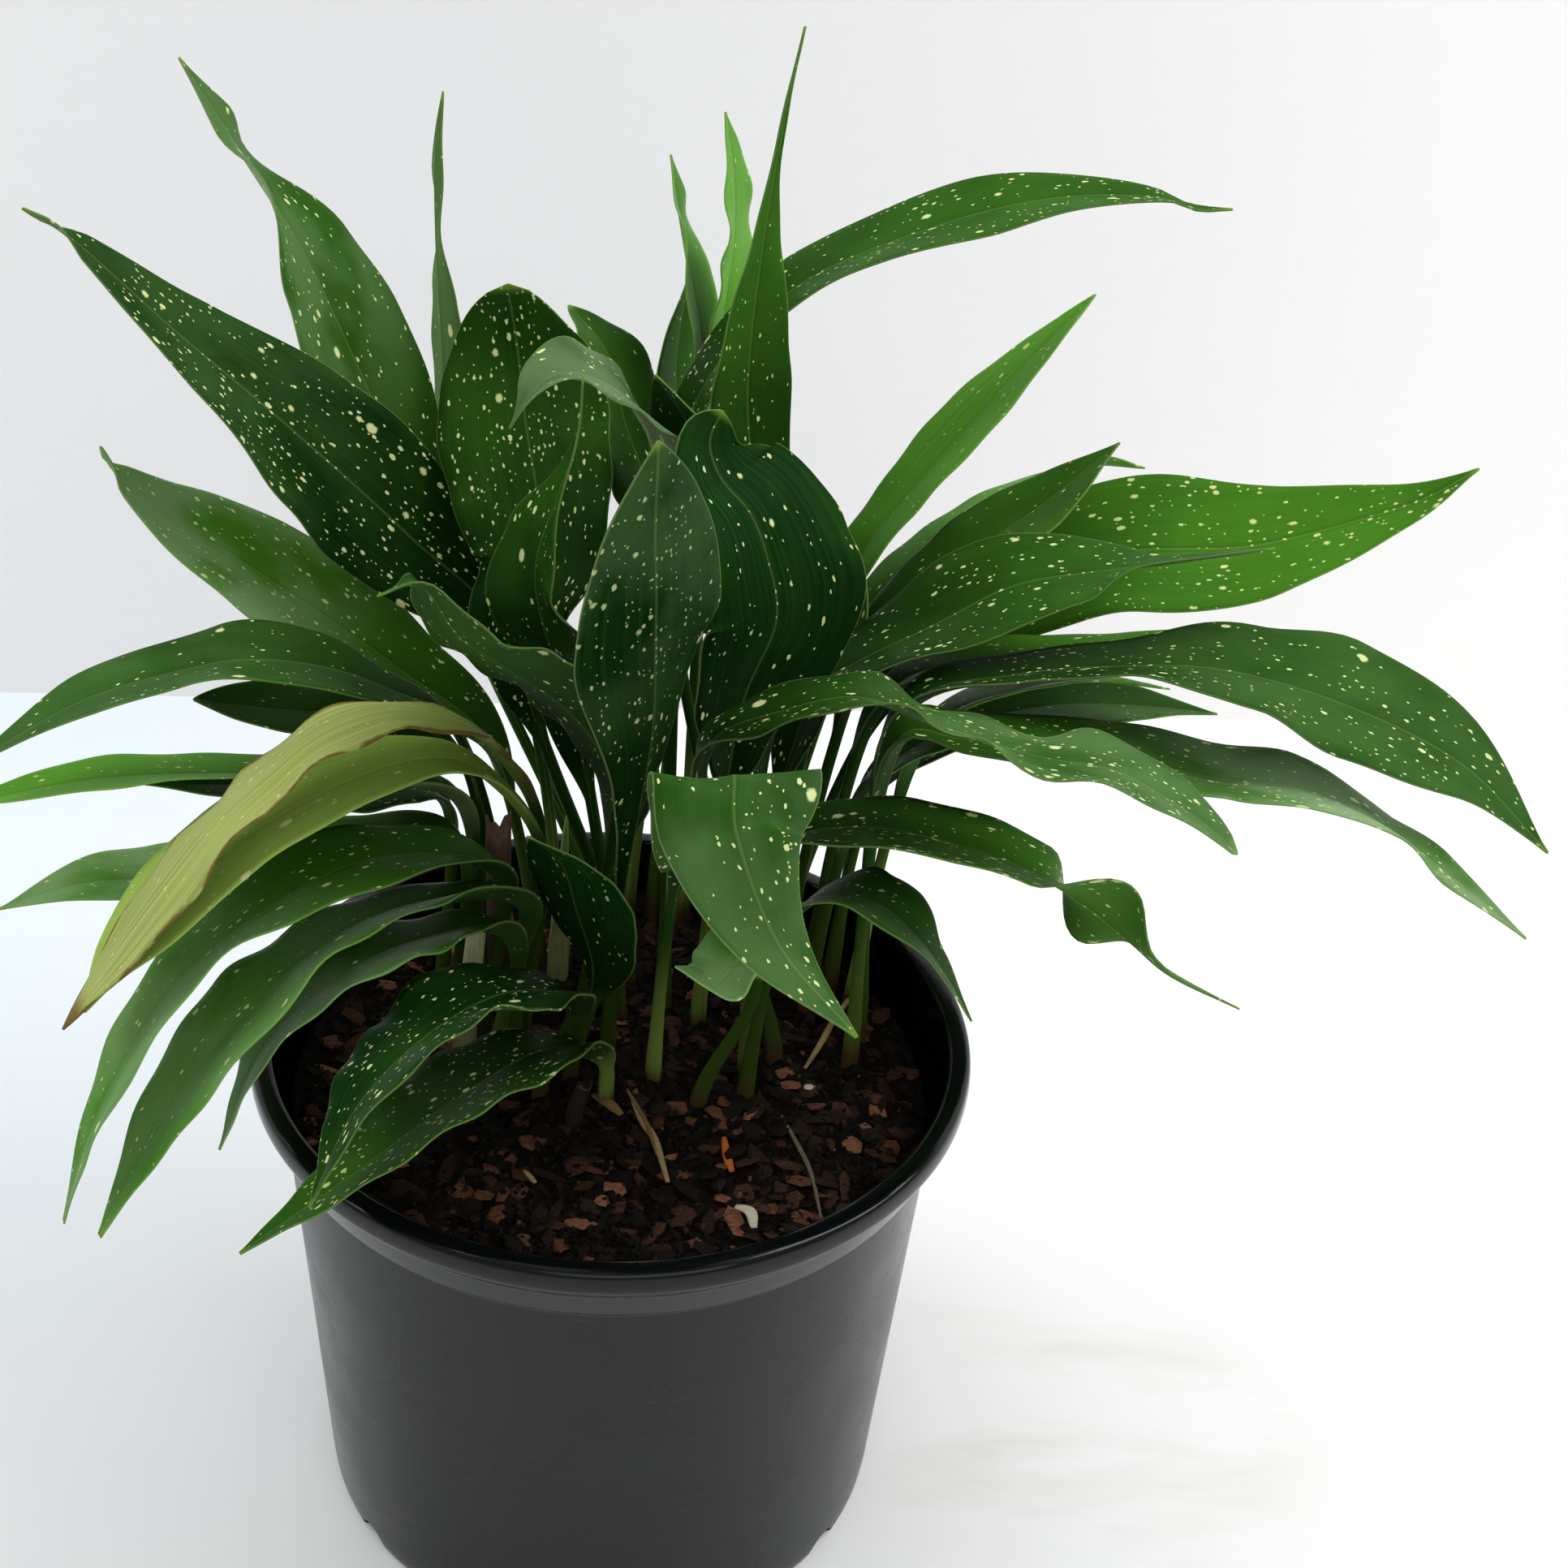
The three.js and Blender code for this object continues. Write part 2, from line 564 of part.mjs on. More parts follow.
// Six corners round the stalk or blade: left, middle and right on top, then right, middle and left below
function section(leaf, curve, along, share) {
  const {
    heading, width, roll, fold = FOLD, widest = WIDEST_AT, base = BASE_SLIM, tip = TIP_SLIM,
  } = leaf;
  const centre = curve.getPointAt(along);
  const tangent = curve.getTangentAt(along);
  const lean = degToRad(heading);
  const across = new THREE.Vector3(-Math.sin(lean), Math.cos(lean), 0);
  across.addScaledVector(tangent, -across.dot(tangent)).normalize();
  across.applyAxisAngle(tangent, degToRad(keyed(roll, share)));
  const up = new THREE.Vector3().crossVectors(tangent, across);

  const rest = 1 - share;
  const half = TIP_HALF + (width / 2) * outline(share, widest, base, tip)
    + (STALK_HALF - TIP_HALF) * rest ** 3;
  const channel = 1 - smooth(clamp(share / CHANNEL_END, 0, 1));
  const tilt = degToRad(lerp(fold, CHANNEL, channel));
  const edgeThick = lerp(BLADE_THICK, STALK_EDGE, rest ** 6);
  const ribThick = lerp(RIB_THICK, STALK_THICK, rest ** 3);
  const sway = 4 * share * rest * WAVE_HEIGHT;
  const wave = (lag) => sway * Math.sin(2 * Math.PI * (WAVE_COUNT * share + lag));

  const corner = (side, lift, thick) => centre.clone()
    .addScaledVector(across, side * half * Math.cos(tilt))
    .addScaledVector(up, lift + thick / 2);
  const edgeLift = half * Math.sin(tilt);
  const left = edgeLift + wave(0);
  const right = edgeLift + wave(WAVE_LAG);
  return [
    corner(1, left, edgeThick), corner(0, 0, ribThick), corner(-1, right, edgeThick),
    corner(-1, right, -edgeThick), corner(0, 0, -ribThick), corner(1, left, -edgeThick),
  ];
}

function leafGeometry(leaf) {
  const { curve, mouth, bladeStart } = ribCurve(leaf);
  const rings = [section(leaf, curve, 0, 0)];
  for (let i = 0; i < STALK_STATIONS - 1; i += 1) {
    rings.push(section(leaf, curve, lerp(mouth, bladeStart, i / (STALK_STATIONS - 1)), 0));
  }
  for (let i = 0; i < BLADE_STATIONS; i += 1) {
    const share = i / (BLADE_STATIONS - 1);
    rings.push(section(leaf, curve, lerp(bladeStart, 1, share), share));
  }
  return skin(rings);
}

// Joins rings of six corners, with both faces of the blade split along the same diagonals
function skin(rings) {
  const corners = rings.flat();
  const count = CORNERS;
  const faces = [];
  for (let i = 0; i < rings.length - 1; i += 1) {
    for (let j = 0; j < count; j += 1) {
      const a = i * count + j;
      const b = i * count + ((j + 1) % count);
      const [c, d] = [b + count, a + count];
      if (j % 3 === 1) {
        faces.push(a, b, d, b, c, d);
      } else {
        faces.push(a, b, c, a, c, d);
      }
    }
  }
  const last = (rings.length - 1) * count;
  for (const [a, b, c] of [[0, 1, 5], [1, 4, 5], [1, 2, 4], [2, 3, 4]]) {
    faces.push(a, c, b);
    faces.push(last + a, last + b, last + c);
  }
  const geometry = new THREE.BufferGeometry();
  geometry.setFromPoints(corners);
  geometry.setIndex(faces);
  geometry.computeVertexNormals();
  return geometry;
}

// A stem that stands in its hole and leans to its top, which is uneven where it was cut
function stemGeometry({ foot, top, radius, tip, ragged }) {
  const [x, y] = foot;
  const mouth = new THREE.Vector3(x, y, SOIL_MIDDLE + 2);
  const end = new THREE.Vector3(...top);
  const rings = [
    stemRing(new THREE.Vector3(x, y, HOLE_BOTTOM + GAP), STEM_FOOT, 0),
    stemRing(mouth, STEM_FOOT, 0),
  ];
  for (let i = 1; i <= STEM_RINGS; i += 1) {
    const share = i / STEM_RINGS;
    rings.push(stemRing(
      mouth.clone().lerp(end, share),
      lerp(radius, tip, share),
      i === STEM_RINGS ? ragged : 0,
    ));
  }
  return skin(rings);
}

function stemRing(centre, radius, ragged) {
  const ring = [];
  for (let i = 0; i < CORNERS; i += 1) {
    const turn = (i / CORNERS) * 2 * Math.PI;
    const offset = new THREE.Vector3(
      radius * Math.cos(turn),
      radius * Math.sin(turn),
      ragged * Math.sin(2 * turn + 1),
    );
    ring.push(offset.add(centre));
  }
  return ring;
}

const plant = new THREE.Group();
plant.name = 'potted_cast_iron_plant';

function addPart(name, geometry, material) {
  const mesh = new THREE.Mesh(geometry, MATERIALS[material]);
  mesh.name = name;
  plant.add(mesh);
}

addPart('pot', potGeometry(), 'potPlastic');

let soil = toSolid(soilGeometry());
for (const { foot } of [...Object.values(LEAVES), ...Object.values(STEMS)]) {
  soil = soil.subtract(toSolid(holeGeometry(foot)));
}
addPart('soil', fromSolid(soil), 'soil');

for (const [name, leaf] of Object.entries(LEAVES)) {
  addPart(name, leafGeometry(leaf), leaf.material ?? 'leaf');
}
for (const [name, stem] of Object.entries(STEMS)) {
  addPart(name, stemGeometry(stem), stem.material);
}

export default plant;
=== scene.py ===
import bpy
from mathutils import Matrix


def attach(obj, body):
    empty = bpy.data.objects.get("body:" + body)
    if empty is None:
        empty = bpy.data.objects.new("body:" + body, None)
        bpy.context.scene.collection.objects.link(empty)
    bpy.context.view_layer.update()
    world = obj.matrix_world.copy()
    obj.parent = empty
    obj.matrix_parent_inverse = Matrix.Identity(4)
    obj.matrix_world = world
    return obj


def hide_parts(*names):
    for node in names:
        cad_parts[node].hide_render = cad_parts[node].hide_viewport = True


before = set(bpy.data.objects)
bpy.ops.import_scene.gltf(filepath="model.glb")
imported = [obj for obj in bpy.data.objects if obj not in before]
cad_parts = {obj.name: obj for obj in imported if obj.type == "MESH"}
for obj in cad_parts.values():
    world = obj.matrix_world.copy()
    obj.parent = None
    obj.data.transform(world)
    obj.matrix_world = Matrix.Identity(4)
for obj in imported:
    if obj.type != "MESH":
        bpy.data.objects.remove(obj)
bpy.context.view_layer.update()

import math

import bpy
import numpy as np
from mathutils import Matrix, Vector

# A cast iron plant in a black nursery pot. Sizes are in millimetres, and MM makes them metres.
MM = 0.001
BODY = "root"
rng = np.random.default_rng(7)

# The photograph's frame and the camera that took it
PHOTO_SIZE = 1932
FOCAL_PIXELS = 3200
AXIS_PIXEL_X = 906
SENSOR = 36
CAMERA_PLACE = Vector((0, -0.5745, 0.5998))
CAMERA_TURN = math.radians(3.0)
CAMERA_TILT = math.radians(32.3)
CAMERA_ROLL = math.radians(3.3)

# The pot, as in the solids
POT_HEIGHT = 155
RIM_RADIUS = 100
RIM_WIDEST = 151
LIP_RADIUS = 94
BAND_TOP = 147
BAND_BOTTOM = 135
NECK_RADIUS = 91
BASE_RADIUS = 82
BASE_CORNER = 8
WALL = 1.5
FLOOR = 3
POT_SIDES = 224
FILLET_STEPS = 5
SLOTS = 10
SLOT_WIDTH = 12
SLOT_HEIGHT = 7
SLOT_REACH = 12
SLOT_SIDES = 48

# The soil
SOIL_EDGE = 134
SOIL_MIDDLE = 139
SOIL_LUMP = 0.8
SOIL_RINGS = 84
SOIL_SIDES = 240
GAP = 0.3
HOLE_BOTTOM = 116
HEAP_SIZES = (9, 6.5, 5, 3.8, 3, 2.4)
HEAP_SHARE = 0.05
WALL_CLEAR = 4
CHIPS = 900
CRUMBS = 4600
BIT_ROUGHNESS = (0.7, 1.2)
STALK_CLEAR = 3.4

# The leaves
STALK_RISE = 26
STALK_HALF = 1.9
SHEATH_SWELL = 0.8
SHEATH_RISE = 20
TIP_HALF = 0.35
STALK_EDGE = 0.3
STALK_CROWN = 0.9
STALK_BELLY = 1.3
STALK_STATIONS = 12
BLADE_STATIONS = 72
COLUMNS = 21
CROWDING = 1.25
CURVE_STEPS = 40
BLADE_DROP = 0.3
WIDEST_AT = 0.52
BASE_SLIM = 0.6
TIP_SLIM = 1.3
CHANNEL = 30
CHANNEL_END = 0.35
FOLD = 7
WAVE_HEIGHT = 0.6
WAVE_COUNT = 2
WAVE_LAG = 0.37
RIPPLE_HEIGHT = 0.2
RIPPLE_COUNT = 7
RIPPLE_LAG = 1.7
EDGE_HALF = 0.24
RIB_RIDGE = 1.0
RIB_GROOVE = 0.3
RIB_SPREAD = 1.5
BACKING = 0.1
SEED_STEP = 0.37

# One row for each leaf, in the order of their names. foot: where its stalk stands in the soil.
# route: its rib above the soil, whose first point or the one numbered neck is the blade's start.
# heading: the way it leans. roll: share of the blade and turn about the rib, in degrees.
# light: how bright each leaf is painted, from deep green to lime: partly its own tone, partly
# painted light and shade for how lit it is. specks: how thickly it is speckled. fold: how far the
# halves rise from the rib, in degrees. ripple: how far the margins flutter. backing: how pale the
# underside is. painted_sheen: how much painted pale sheen, a painted reflection, lies on the outer
# half. base and tip: how slim the blade's two ends are.
UPRIGHT = [
    dict(foot=(-5, 76), heading=140, width=26, widest=0.51, tip=1, light=0.2, specks=0.1, backing=0.3,
         roll=[(0.58, 65), (0.67, 60), (0.78, 45), (0.88, 60)],
         route=[(-45, 130, 223), (-55, 138, 263), (-56, 144, 291), (-58, 150, 327), (-58, 152, 353),
                (-56, 154, 368)]),
    dict(foot=(4, 46), heading=84, width=50, widest=0.7, tip=0.6, light=0.1, specks=0.9, ripple=1,
         roll=[(0.59, -20), (0.78, -15)],
         route=[(-29, 44, 255), (-23, 56, 271), (-25, 70, 284), (-29, 86, 298), (-32, 100, 314),
                (-35, 104, 331)]),
    dict(foot=(16, 71), heading=110, width=44, widest=0.66, tip=0.9, light=0.15, specks=0.2, ripple=1.4,
         roll=[(0.69, 40)],
         route=[(6, 98, 268), (-2, 111, 288), (-8, 124, 304), (-19, 132, 314)]),
    dict(foot=(14, 32), heading=190, width=38, widest=0.62, light=0.12, specks=0.3, painted_sheen=0.2,
         backing=1.1, ripple=1.2, roll=[(0.58, 10), (0.76, 0), (0.86, 5)],
         route=[(12, 38, 279), (9, 44, 302), (3, 44, 320), (-8, 38, 332), (-18, 30, 337),
                (-25, 22, 335), (-30, 18, 327)]),
    dict(foot=(2, 26), heading=90, width=36, widest=0.53, tip=2, light=0.1, specks=0.4,
         roll=[(0.47, -40), (0.62, -70), (0.81, -85)],
         route=[(-13, 22, 245), (-21, 16, 273), (-23, 14, 291), (-18, 14, 310), (-13, 16, 326),
                (-12, 18, 342)]),
    dict(foot=(24, 24), heading=90, width=54, widest=0.64, tip=0.75, light=0, specks=0.3, ripple=1,
         roll=[(0.53, 35), (0.71, 45)],
         route=[(31, 12, 253), (39, 15, 278), (36, 18, 293), (31, 22, 304), (23, 26, 312),
                (20, 30, 320), (23, 34, 327)]),
    dict(foot=(28, 42), heading=90, width=46, widest=0.64, tip=1, light=0.1, specks=0.6,
         roll=[(0.67, -50)],
         route=[(32, 50, 264), (25, 52, 292), (16, 52, 313), (6, 50, 329)]),
    dict(foot=(30, 58), heading=90, width=27, widest=0.45, tip=4, light=0.25, specks=0.3,
         roll=[(0.44, 40), (0.51, 45), (0.6, 45), (0.69, 50), (0.77, 55)],
         route=[(35, 68, 274), (31, 74, 315), (33, 74, 357), (37, 70, 395), (40, 66, 416)]),
    dict(foot=(20, 79), heading=90, width=31, widest=0.65, light=0.95, specks=0.2, painted_sheen=0.12, ripple=1,
         roll=[(0.62, 70), (0.76, 75), (0.87, 70)],
         route=[(24, 134, 289), (26, 138, 312), (28, 142, 333), (27, 144, 351), (24, 146, 368)]),
    dict(foot=(11, 80), heading=100, width=33, widest=0.67, light=0.8, specks=0.1, painted_sheen=0.12,
         roll=[(0.67, 65), (0.83, 80), (0.91, 70)],
         route=[(21, 135, 288), (19, 139, 307), (15, 142, 325), (12, 144, 339), (9, 146, 355)]),
    dict(foot=(3, 79), heading=100, width=38, widest=0.64, light=0.2, specks=0.2, roll=[(0.67, 55)],
         route=[(16, 140, 248), (13, 155, 287), (16, 162, 313)]),
    dict(foot=(38, 50), heading=80, width=36, widest=0.59, light=0.15, specks=0.4, roll=[(0.63, -55)],
         route=[(51, 62, 216), (59, 74, 241), (63, 78, 260), (59, 82, 276)]),
]
LEFT = [
    dict(foot=(-4, 66), heading=160, width=50, widest=0.53, base=1, light=0.24, specks=0.45, painted_sheen=0.14,
         backing=1.1, roll=[(0.4, -5), (0.57, -5), (0.68, 0), (0.84, 35), (0.91, 10)],
         route=[(-47, 98, 229), (-78, 110, 303), (-93, 112, 337), (-106, 110, 361), (-121, 104, 390)]),
    dict(foot=(-16, 52), heading=184, width=46, widest=0.48, light=0.06, specks=0.8, painted_sheen=0.03,
         backing=0.6,
         roll=[(0.31, -40), (0.44, -40), (0.54, -30), (0.72, -15), (0.83, -10), (0.91, -10), (0.99, 60)],
         route=[(-33, 76, 234), (-61, 72, 269), (-92, 62, 306), (-117, 52, 335), (-142, 44, 364),
                (-150, 40, 371)]),
    dict(foot=(-23, 51), heading=182, width=44, light=0.6, specks=0.5, painted_sheen=0.45,
         roll=[(0.43, -15), (0.65, -15), (0.81, -15), (0.92, -15), (0.99, 60)],
         route=[(-39, 66, 206), (-62, 66, 228), (-105, 60, 265), (-124, 54, 282), (-136, 50, 297),
                (-138, 48, 304)]),
    dict(foot=(-10, 18), heading=190, width=42, widest=0.56, base=0.5, light=0.1, specks=0.35, ripple=1,
         roll=[(0.4, 40), (0.56, 40), (0.72, 35), (0.88, 30)],
         route=[(-2, 6, 233), (-12, 0, 256), (-26, -8, 272), (-40, -18, 288), (-49, -28, 307),
                (-58, -36, 308)]),
    dict(foot=(-30, 45), heading=188, width=40, widest=0.57, base=1.3, light=0.16, specks=0.25,
         painted_sheen=0.04, roll=[(0.44, 5), (0.66, 10), (0.83, 5)],
         route=[(-46, 43, 224), (-63, 31, 243), (-79, 23, 254), (-99, 15, 260), (-118, 8, 259),
                (-138, -2, 256), (-165, -18, 245)]),
    dict(foot=(-37, 40), heading=188, width=32, widest=0.58, base=1.8, tip=0.9, light=0.2, specks=0.15,
         roll=[(0.62, 0)],
         route=[(-45, 34, 222), (-67, 28, 236), (-88, 22, 241), (-102, 17, 245), (-112, 13, 249)]),
    dict(foot=(-41, 32), heading=190, width=32, widest=0.65, light=0.85, specks=0.15, backing=1,
         roll=[(0.57, 20), (0.74, 15)],
         route=[(-45, 27, 212), (-68, 16, 223), (-100, 9, 229), (-135, -2, 233), (-162, -12, 232),
                (-174, -16, 231)]),
    dict(foot=(-46, 24), heading=198, width=42, widest=0.56, light=0.62, specks=0.2, painted_sheen=0.4,
         roll=[(0.48, 10), (0.69, 10), (0.87, 5)],
         route=[(-45, 20, 202), (-69, 18, 201), (-95, 13, 194), (-122, 4, 198), (-142, -4, 201),
                (-162, -12, 198)]),
    dict(foot=(-37, 15), heading=204, width=42, widest=0.46, light=0.55, specks=0.3, painted_sheen=0.25,
         ripple=0.7, roll=[(0.36, 10), (0.55, 20), (0.73, 10)],
         route=[(-33, 8, 200), (-56, -7, 215), (-75, -20, 217), (-108, -43, 202), (-127, -61, 176),
                (-134, -65, 158), (-139, -69, 141)]),
    dict(foot=(-33, 7), heading=206, width=42, widest=0.55, light=0.58, specks=0.2, painted_sheen=0.22,
         ripple=0.7, roll=[(0.46, 25), (0.64, 10), (0.82, 5)],
         route=[(-26, 0, 196), (-51, -14, 205), (-71, -29, 205), (-93, -49, 194), (-113, -62, 170),
                (-129, -74, 141)]),
    dict(foot=(-28, -1), heading=208, width=36, light=0.5, specks=0.1, painted_sheen=0.4, ripple=0.7,
         roll=[(0.47, 20), (0.74, 20)],
         route=[(-30, -4, 189), (-51, -18, 196), (-70, -34, 196), (-88, -50, 185), (-99, -64, 162)]),
    dict(foot=(-20, -9), heading=222, width=42, light=0.04, specks=0.7, ripple=0.7,
         roll=[(0.36, 10), (0.54, 30), (0.82, 30)],
         route=[(-11, -18, 176), (-28, -38, 194), (-47, -64, 199), (-61, -86, 195), (-71, -104, 179)]),
    dict(foot=(-2, -14), heading=218, width=42, widest=0.47, light=0.2, specks=0.8, ripple=0.7,
         roll=[(0.33, 20), (0.52, 25), (0.76, 25)],
         route=[(-3, -20, 159), (-18, -36, 174), (-39, -60, 177), (-63, -84, 172), (-89, -100, 160)]),
    dict(foot=(-12, -2), heading=220, width=36, light=0, specks=0.25, backing=0, roll=[(0.58, 10)],
         route=[(-5, -8, 179), (-10, -12, 203), (-15, -18, 223), (-23, -26, 235)]),
    dict(foot=(-50, 29), heading=190, width=32, widest=0.55, base=1, light=0.3, specks=0.5,
         roll=[(0.51, 5), (0.75, 10)],
         route=[(-49, 37, 204), (-59, 33, 211), (-74, 26, 214), (-93, 18, 220), (-110, 9, 225),
                (-124, 1, 230)]),
]
RIGHT = [
    dict(foot=(34, 68), heading=20, width=38, widest=0.62, light=0.18, specks=0.6,
         roll=[(0.46, -10), (0.58, -10), (0.73, 0), (0.83, 0)],
         route=[(11, 84, 271), (21, 99, 306), (44, 112, 329), (83, 120, 346), (116, 122, 355),
                (145, 120, 357), (155, 118, 355), (165, 116, 356)]),
    dict(foot=(44, 58), heading=40, width=34, widest=0.56, base=0.45, tip=1, light=1, specks=0.25,
         painted_sheen=0.05, roll=[(0.48, -25), (0.63, -25), (0.78, -25)],
         route=[(68, 96, 254), (79, 104, 268), (95, 114, 285), (111, 124, 301), (134, 138, 321)]),
    dict(foot=(43, 66), heading=36, width=30, widest=0.57, light=0.5, specks=0.2,
         roll=[(0.37, -25), (0.6, -35)],
         route=[(71, 102, 232), (94, 124, 247), (120, 144, 256), (145, 158, 258), (161, 162, 255)]),
    dict(foot=(51, 54), heading=30, width=38, widest=0.66, light=0.25, specks=0.2,
         roll=[(0.63, -15), (0.81, -15)],
         route=[(72, 72, 240), (97, 86, 260), (120, 98, 273), (141, 108, 288)]),
    dict(foot=(50, 62), heading=14, width=50, widest=0.51, light=0.5, specks=0.6,
         roll=[(0.39, 15), (0.57, 25), (0.74, 15)],
         route=[(84, 89, 220), (135, 100, 254), (184, 101, 260), (218, 100, 272), (230, 99, 278),
                (243, 97, 289)]),
    dict(foot=(42, 44), heading=6, width=44, widest=0.52, light=0.16, specks=0.5,
         roll=[(0.33, -10), (0.54, 5), (0.68, 0), (0.82, -25)],
         route=[(43, 34, 238), (62, 38, 251), (84, 44, 261), (106, 50, 271), (128, 52, 275),
                (149, 48, 281), (174, 46, 287)]),
    dict(foot=(58, 50), heading=10, width=34, widest=0.58, light=0.4, specks=0.3, roll=[(0.62, -20)],
         route=[(75, 51, 236), (98, 54, 245), (130, 58, 247), (161, 59, 255)]),
    dict(foot=(71, 22), heading=0, width=48, widest=0.66, light=0.15, specks=0.45, painted_sheen=0.04,
         roll=[(0.41, -15), (0.58, 0), (0.7, 15), (0.87, 25)],
         route=[(76, 17, 251), (104, 23, 258), (130, 26, 260), (158, 23, 262), (190, 16, 257),
                (223, 6, 245), (246, -8, 227)]),
    dict(foot=(70, 36), heading=10, width=40, widest=0.59, light=0.5, specks=0.3, roll=[(0.63, -25)],
         route=[(89, 58, 220), (113, 61, 232), (134, 64, 234), (156, 64, 232)]),
    dict(foot=(64, 44), heading=10, width=44, widest=0.61, light=0.22, specks=0.2, roll=[(0.65, -10)],
         route=[(75, 66, 192), (98, 74, 210), (124, 79, 216), (152, 83, 215), (176, 83, 213)]),
    dict(foot=(68, 10), heading=-4, width=38, light=0.38, specks=0.5, painted_sheen=0.42,
         roll=[(0.45, -5), (0.58, -10), (0.68, -10), (0.78, -15), (0.87, 10)],
         route=[(74, 0, 253), (87, -1, 252), (104, -1, 251), (135, 1, 246), (157, 0, 242),
                (177, -5, 243), (199, -10, 236), (221, -16, 222), (240, -22, 209)]),
    dict(foot=(46, 10), heading=-14, width=36, widest=0.67, tip=0.5, light=0.2, specks=0.7, painted_sheen=0.12,
         ripple=1.2, roll=[(0.35, 0), (0.53, -25), (0.63, -25), (0.77, -10), (0.88, -10)],
         route=[(22, -8, 251), (41, -14, 267), (59, -20, 275), (77, -26, 272), (92, -32, 270),
                (104, -38, 270), (119, -44, 271), (132, -50, 267), (144, -56, 261), (149, -58, 257)]),
    dict(foot=(57, 36), heading=0, width=26, widest=0.58, light=0.4, specks=0.3, roll=[(0.62, -10)],
         route=[(67, 36, 206), (77, 33, 226), (92, 34, 233), (111, 35, 226)]),
    dict(foot=(38, 2), heading=-18, width=42, widest=0.5, tip=1.5, light=0.3, specks=0.6,
         roll=[(0.33, -10), (0.5, -15), (0.62, -20), (0.75, -75), (0.83, -30)],
         route=[(40, -16, 226), (61, -24, 239), (89, -34, 240), (109, -42, 236), (128, -50, 225),
                (138, -54, 218), (156, -60, 212)]),
    dict(foot=(38, -9), heading=-44, width=32, widest=0.54, light=0.16, specks=0.4,
         roll=[(0.42, 0), (0.63, -20), (0.83, -35)],
         route=[(44, -15, 199), (51, -22, 215), (58, -32, 223), (67, -40, 226), (79, -50, 219),
                (90, -56, 203)]),
]
FRONT = [
    dict(foot=(-1, 10), heading=270, width=42, widest=0.61, base=1.3, tip=1, light=0.04, specks=0.6,
         painted_sheen=0.06, backing=0, roll=[(0.43, 55), (0.61, 35), (0.87, 40)],
         route=[(1, -6, 205), (4, -12, 234), (7, -20, 264), (7, -36, 305), (6, -50, 335),
                (6, -66, 364)]),
    dict(foot=(12, -4), heading=-46, width=41, widest=0.5, base=1.3, tip=1.1, light=0.16, specks=0.6,
         painted_sheen=0.1, fold=-9, roll=[(0.42, -17), (0.64, -20), (0.72, 12), (0.95, -8)],
         route=[(16, -20, 220), (24, -47, 247), (26, -72, 284), (26, -94, 283), (36, -110, 264),
                (53, -128, 253)]),
    dict(foot=(24, -13), neck=2, heading=200, width=24, widest=0.68, light=0.5, specks=0.1, painted_sheen=0.3,
         backing=1.3, roll=[(0.7, 10)],
         route=[(36, -18, 176), (37, -26, 195), (35, -36, 209), (30, -46, 211), (25, -52, 209),
                (15, -54, 216)]),
]
YELLOWING = [
    dict(foot=(-28, 26), neck=1, heading=196, width=30, widest=0.66, base=0.8, tip=1, light=0.5,
         specks=0.2, fold=-6, ripple=1, roll=[(0.37, 10), (0.58, 10), (0.79, 0)],
         route=[(-22, 17, 212), (-33, 9, 239), (-43, 0, 253), (-59, -8, 260), (-75, -18, 259),
                (-88, -28, 252), (-99, -36, 244), (-113, -45, 228), (-126, -51, 210),
                (-137, -57, 194)]),
    dict(foot=(-26, 17), neck=1, heading=196, width=38, widest=0.67, base=1, tip=1, light=0.7,
         specks=0.15, roll=[(0.46, 0), (0.67, 0), (0.83, -5)],
         route=[(-21, 8, 210), (-33, 4, 232), (-45, -3, 243), (-59, -9, 244), (-75, -16, 240),
                (-89, -22, 234), (-102, -29, 226), (-114, -37, 217), (-126, -44, 205),
                (-133, -50, 194)]),
]
GROUPS = {"upright": UPRIGHT, "left": LEFT, "right": RIGHT, "front": FRONT, "yellowing": YELLOWING}
LEAVES = {f"leaf_{group}_{number}": leaf
          for group, row in GROUPS.items() for number, leaf in enumerate(row, 1)}

# Rolled young leaves and the cut stubs of old stalks
STEMS = {
    "shoot_1": dict(foot=(-17, 43), top=(-15, 50, 192), radius=3.2, tip=0.4, taper=1.6,
                    slot="young_leaf"),
    "shoot_2": dict(foot=(-7, 36), top=(-5, 40, 190), radius=2.8, tip=0.4, taper=1.6,
                    slot="young_leaf"),
    "stub_1": dict(foot=(-33, 22), top=(-33, 24, 206), radius=3.0, tip=3.6, ragged=4,
                   slot="dry_stalk"),
    "stub_2": dict(foot=(-42, 7), top=(-38, 12, 182), radius=3.4, tip=2.6, ragged=1.5,
                   slot="pale_stalk"),
    "stub_3": dict(foot=(-10, -21), top=(-7, -21, 152), radius=2.6, tip=2.0, ragged=1.5,
                   slot="dry_stalk"),
}
STEM_FOOT = 2.3
STEM_FOOT_SHARE = 0.03
STEM_WIDEST = 9
STEM_KNOBS = 0.06
STEM_HOLLOW = 0.35
STEM_SIDES = 20

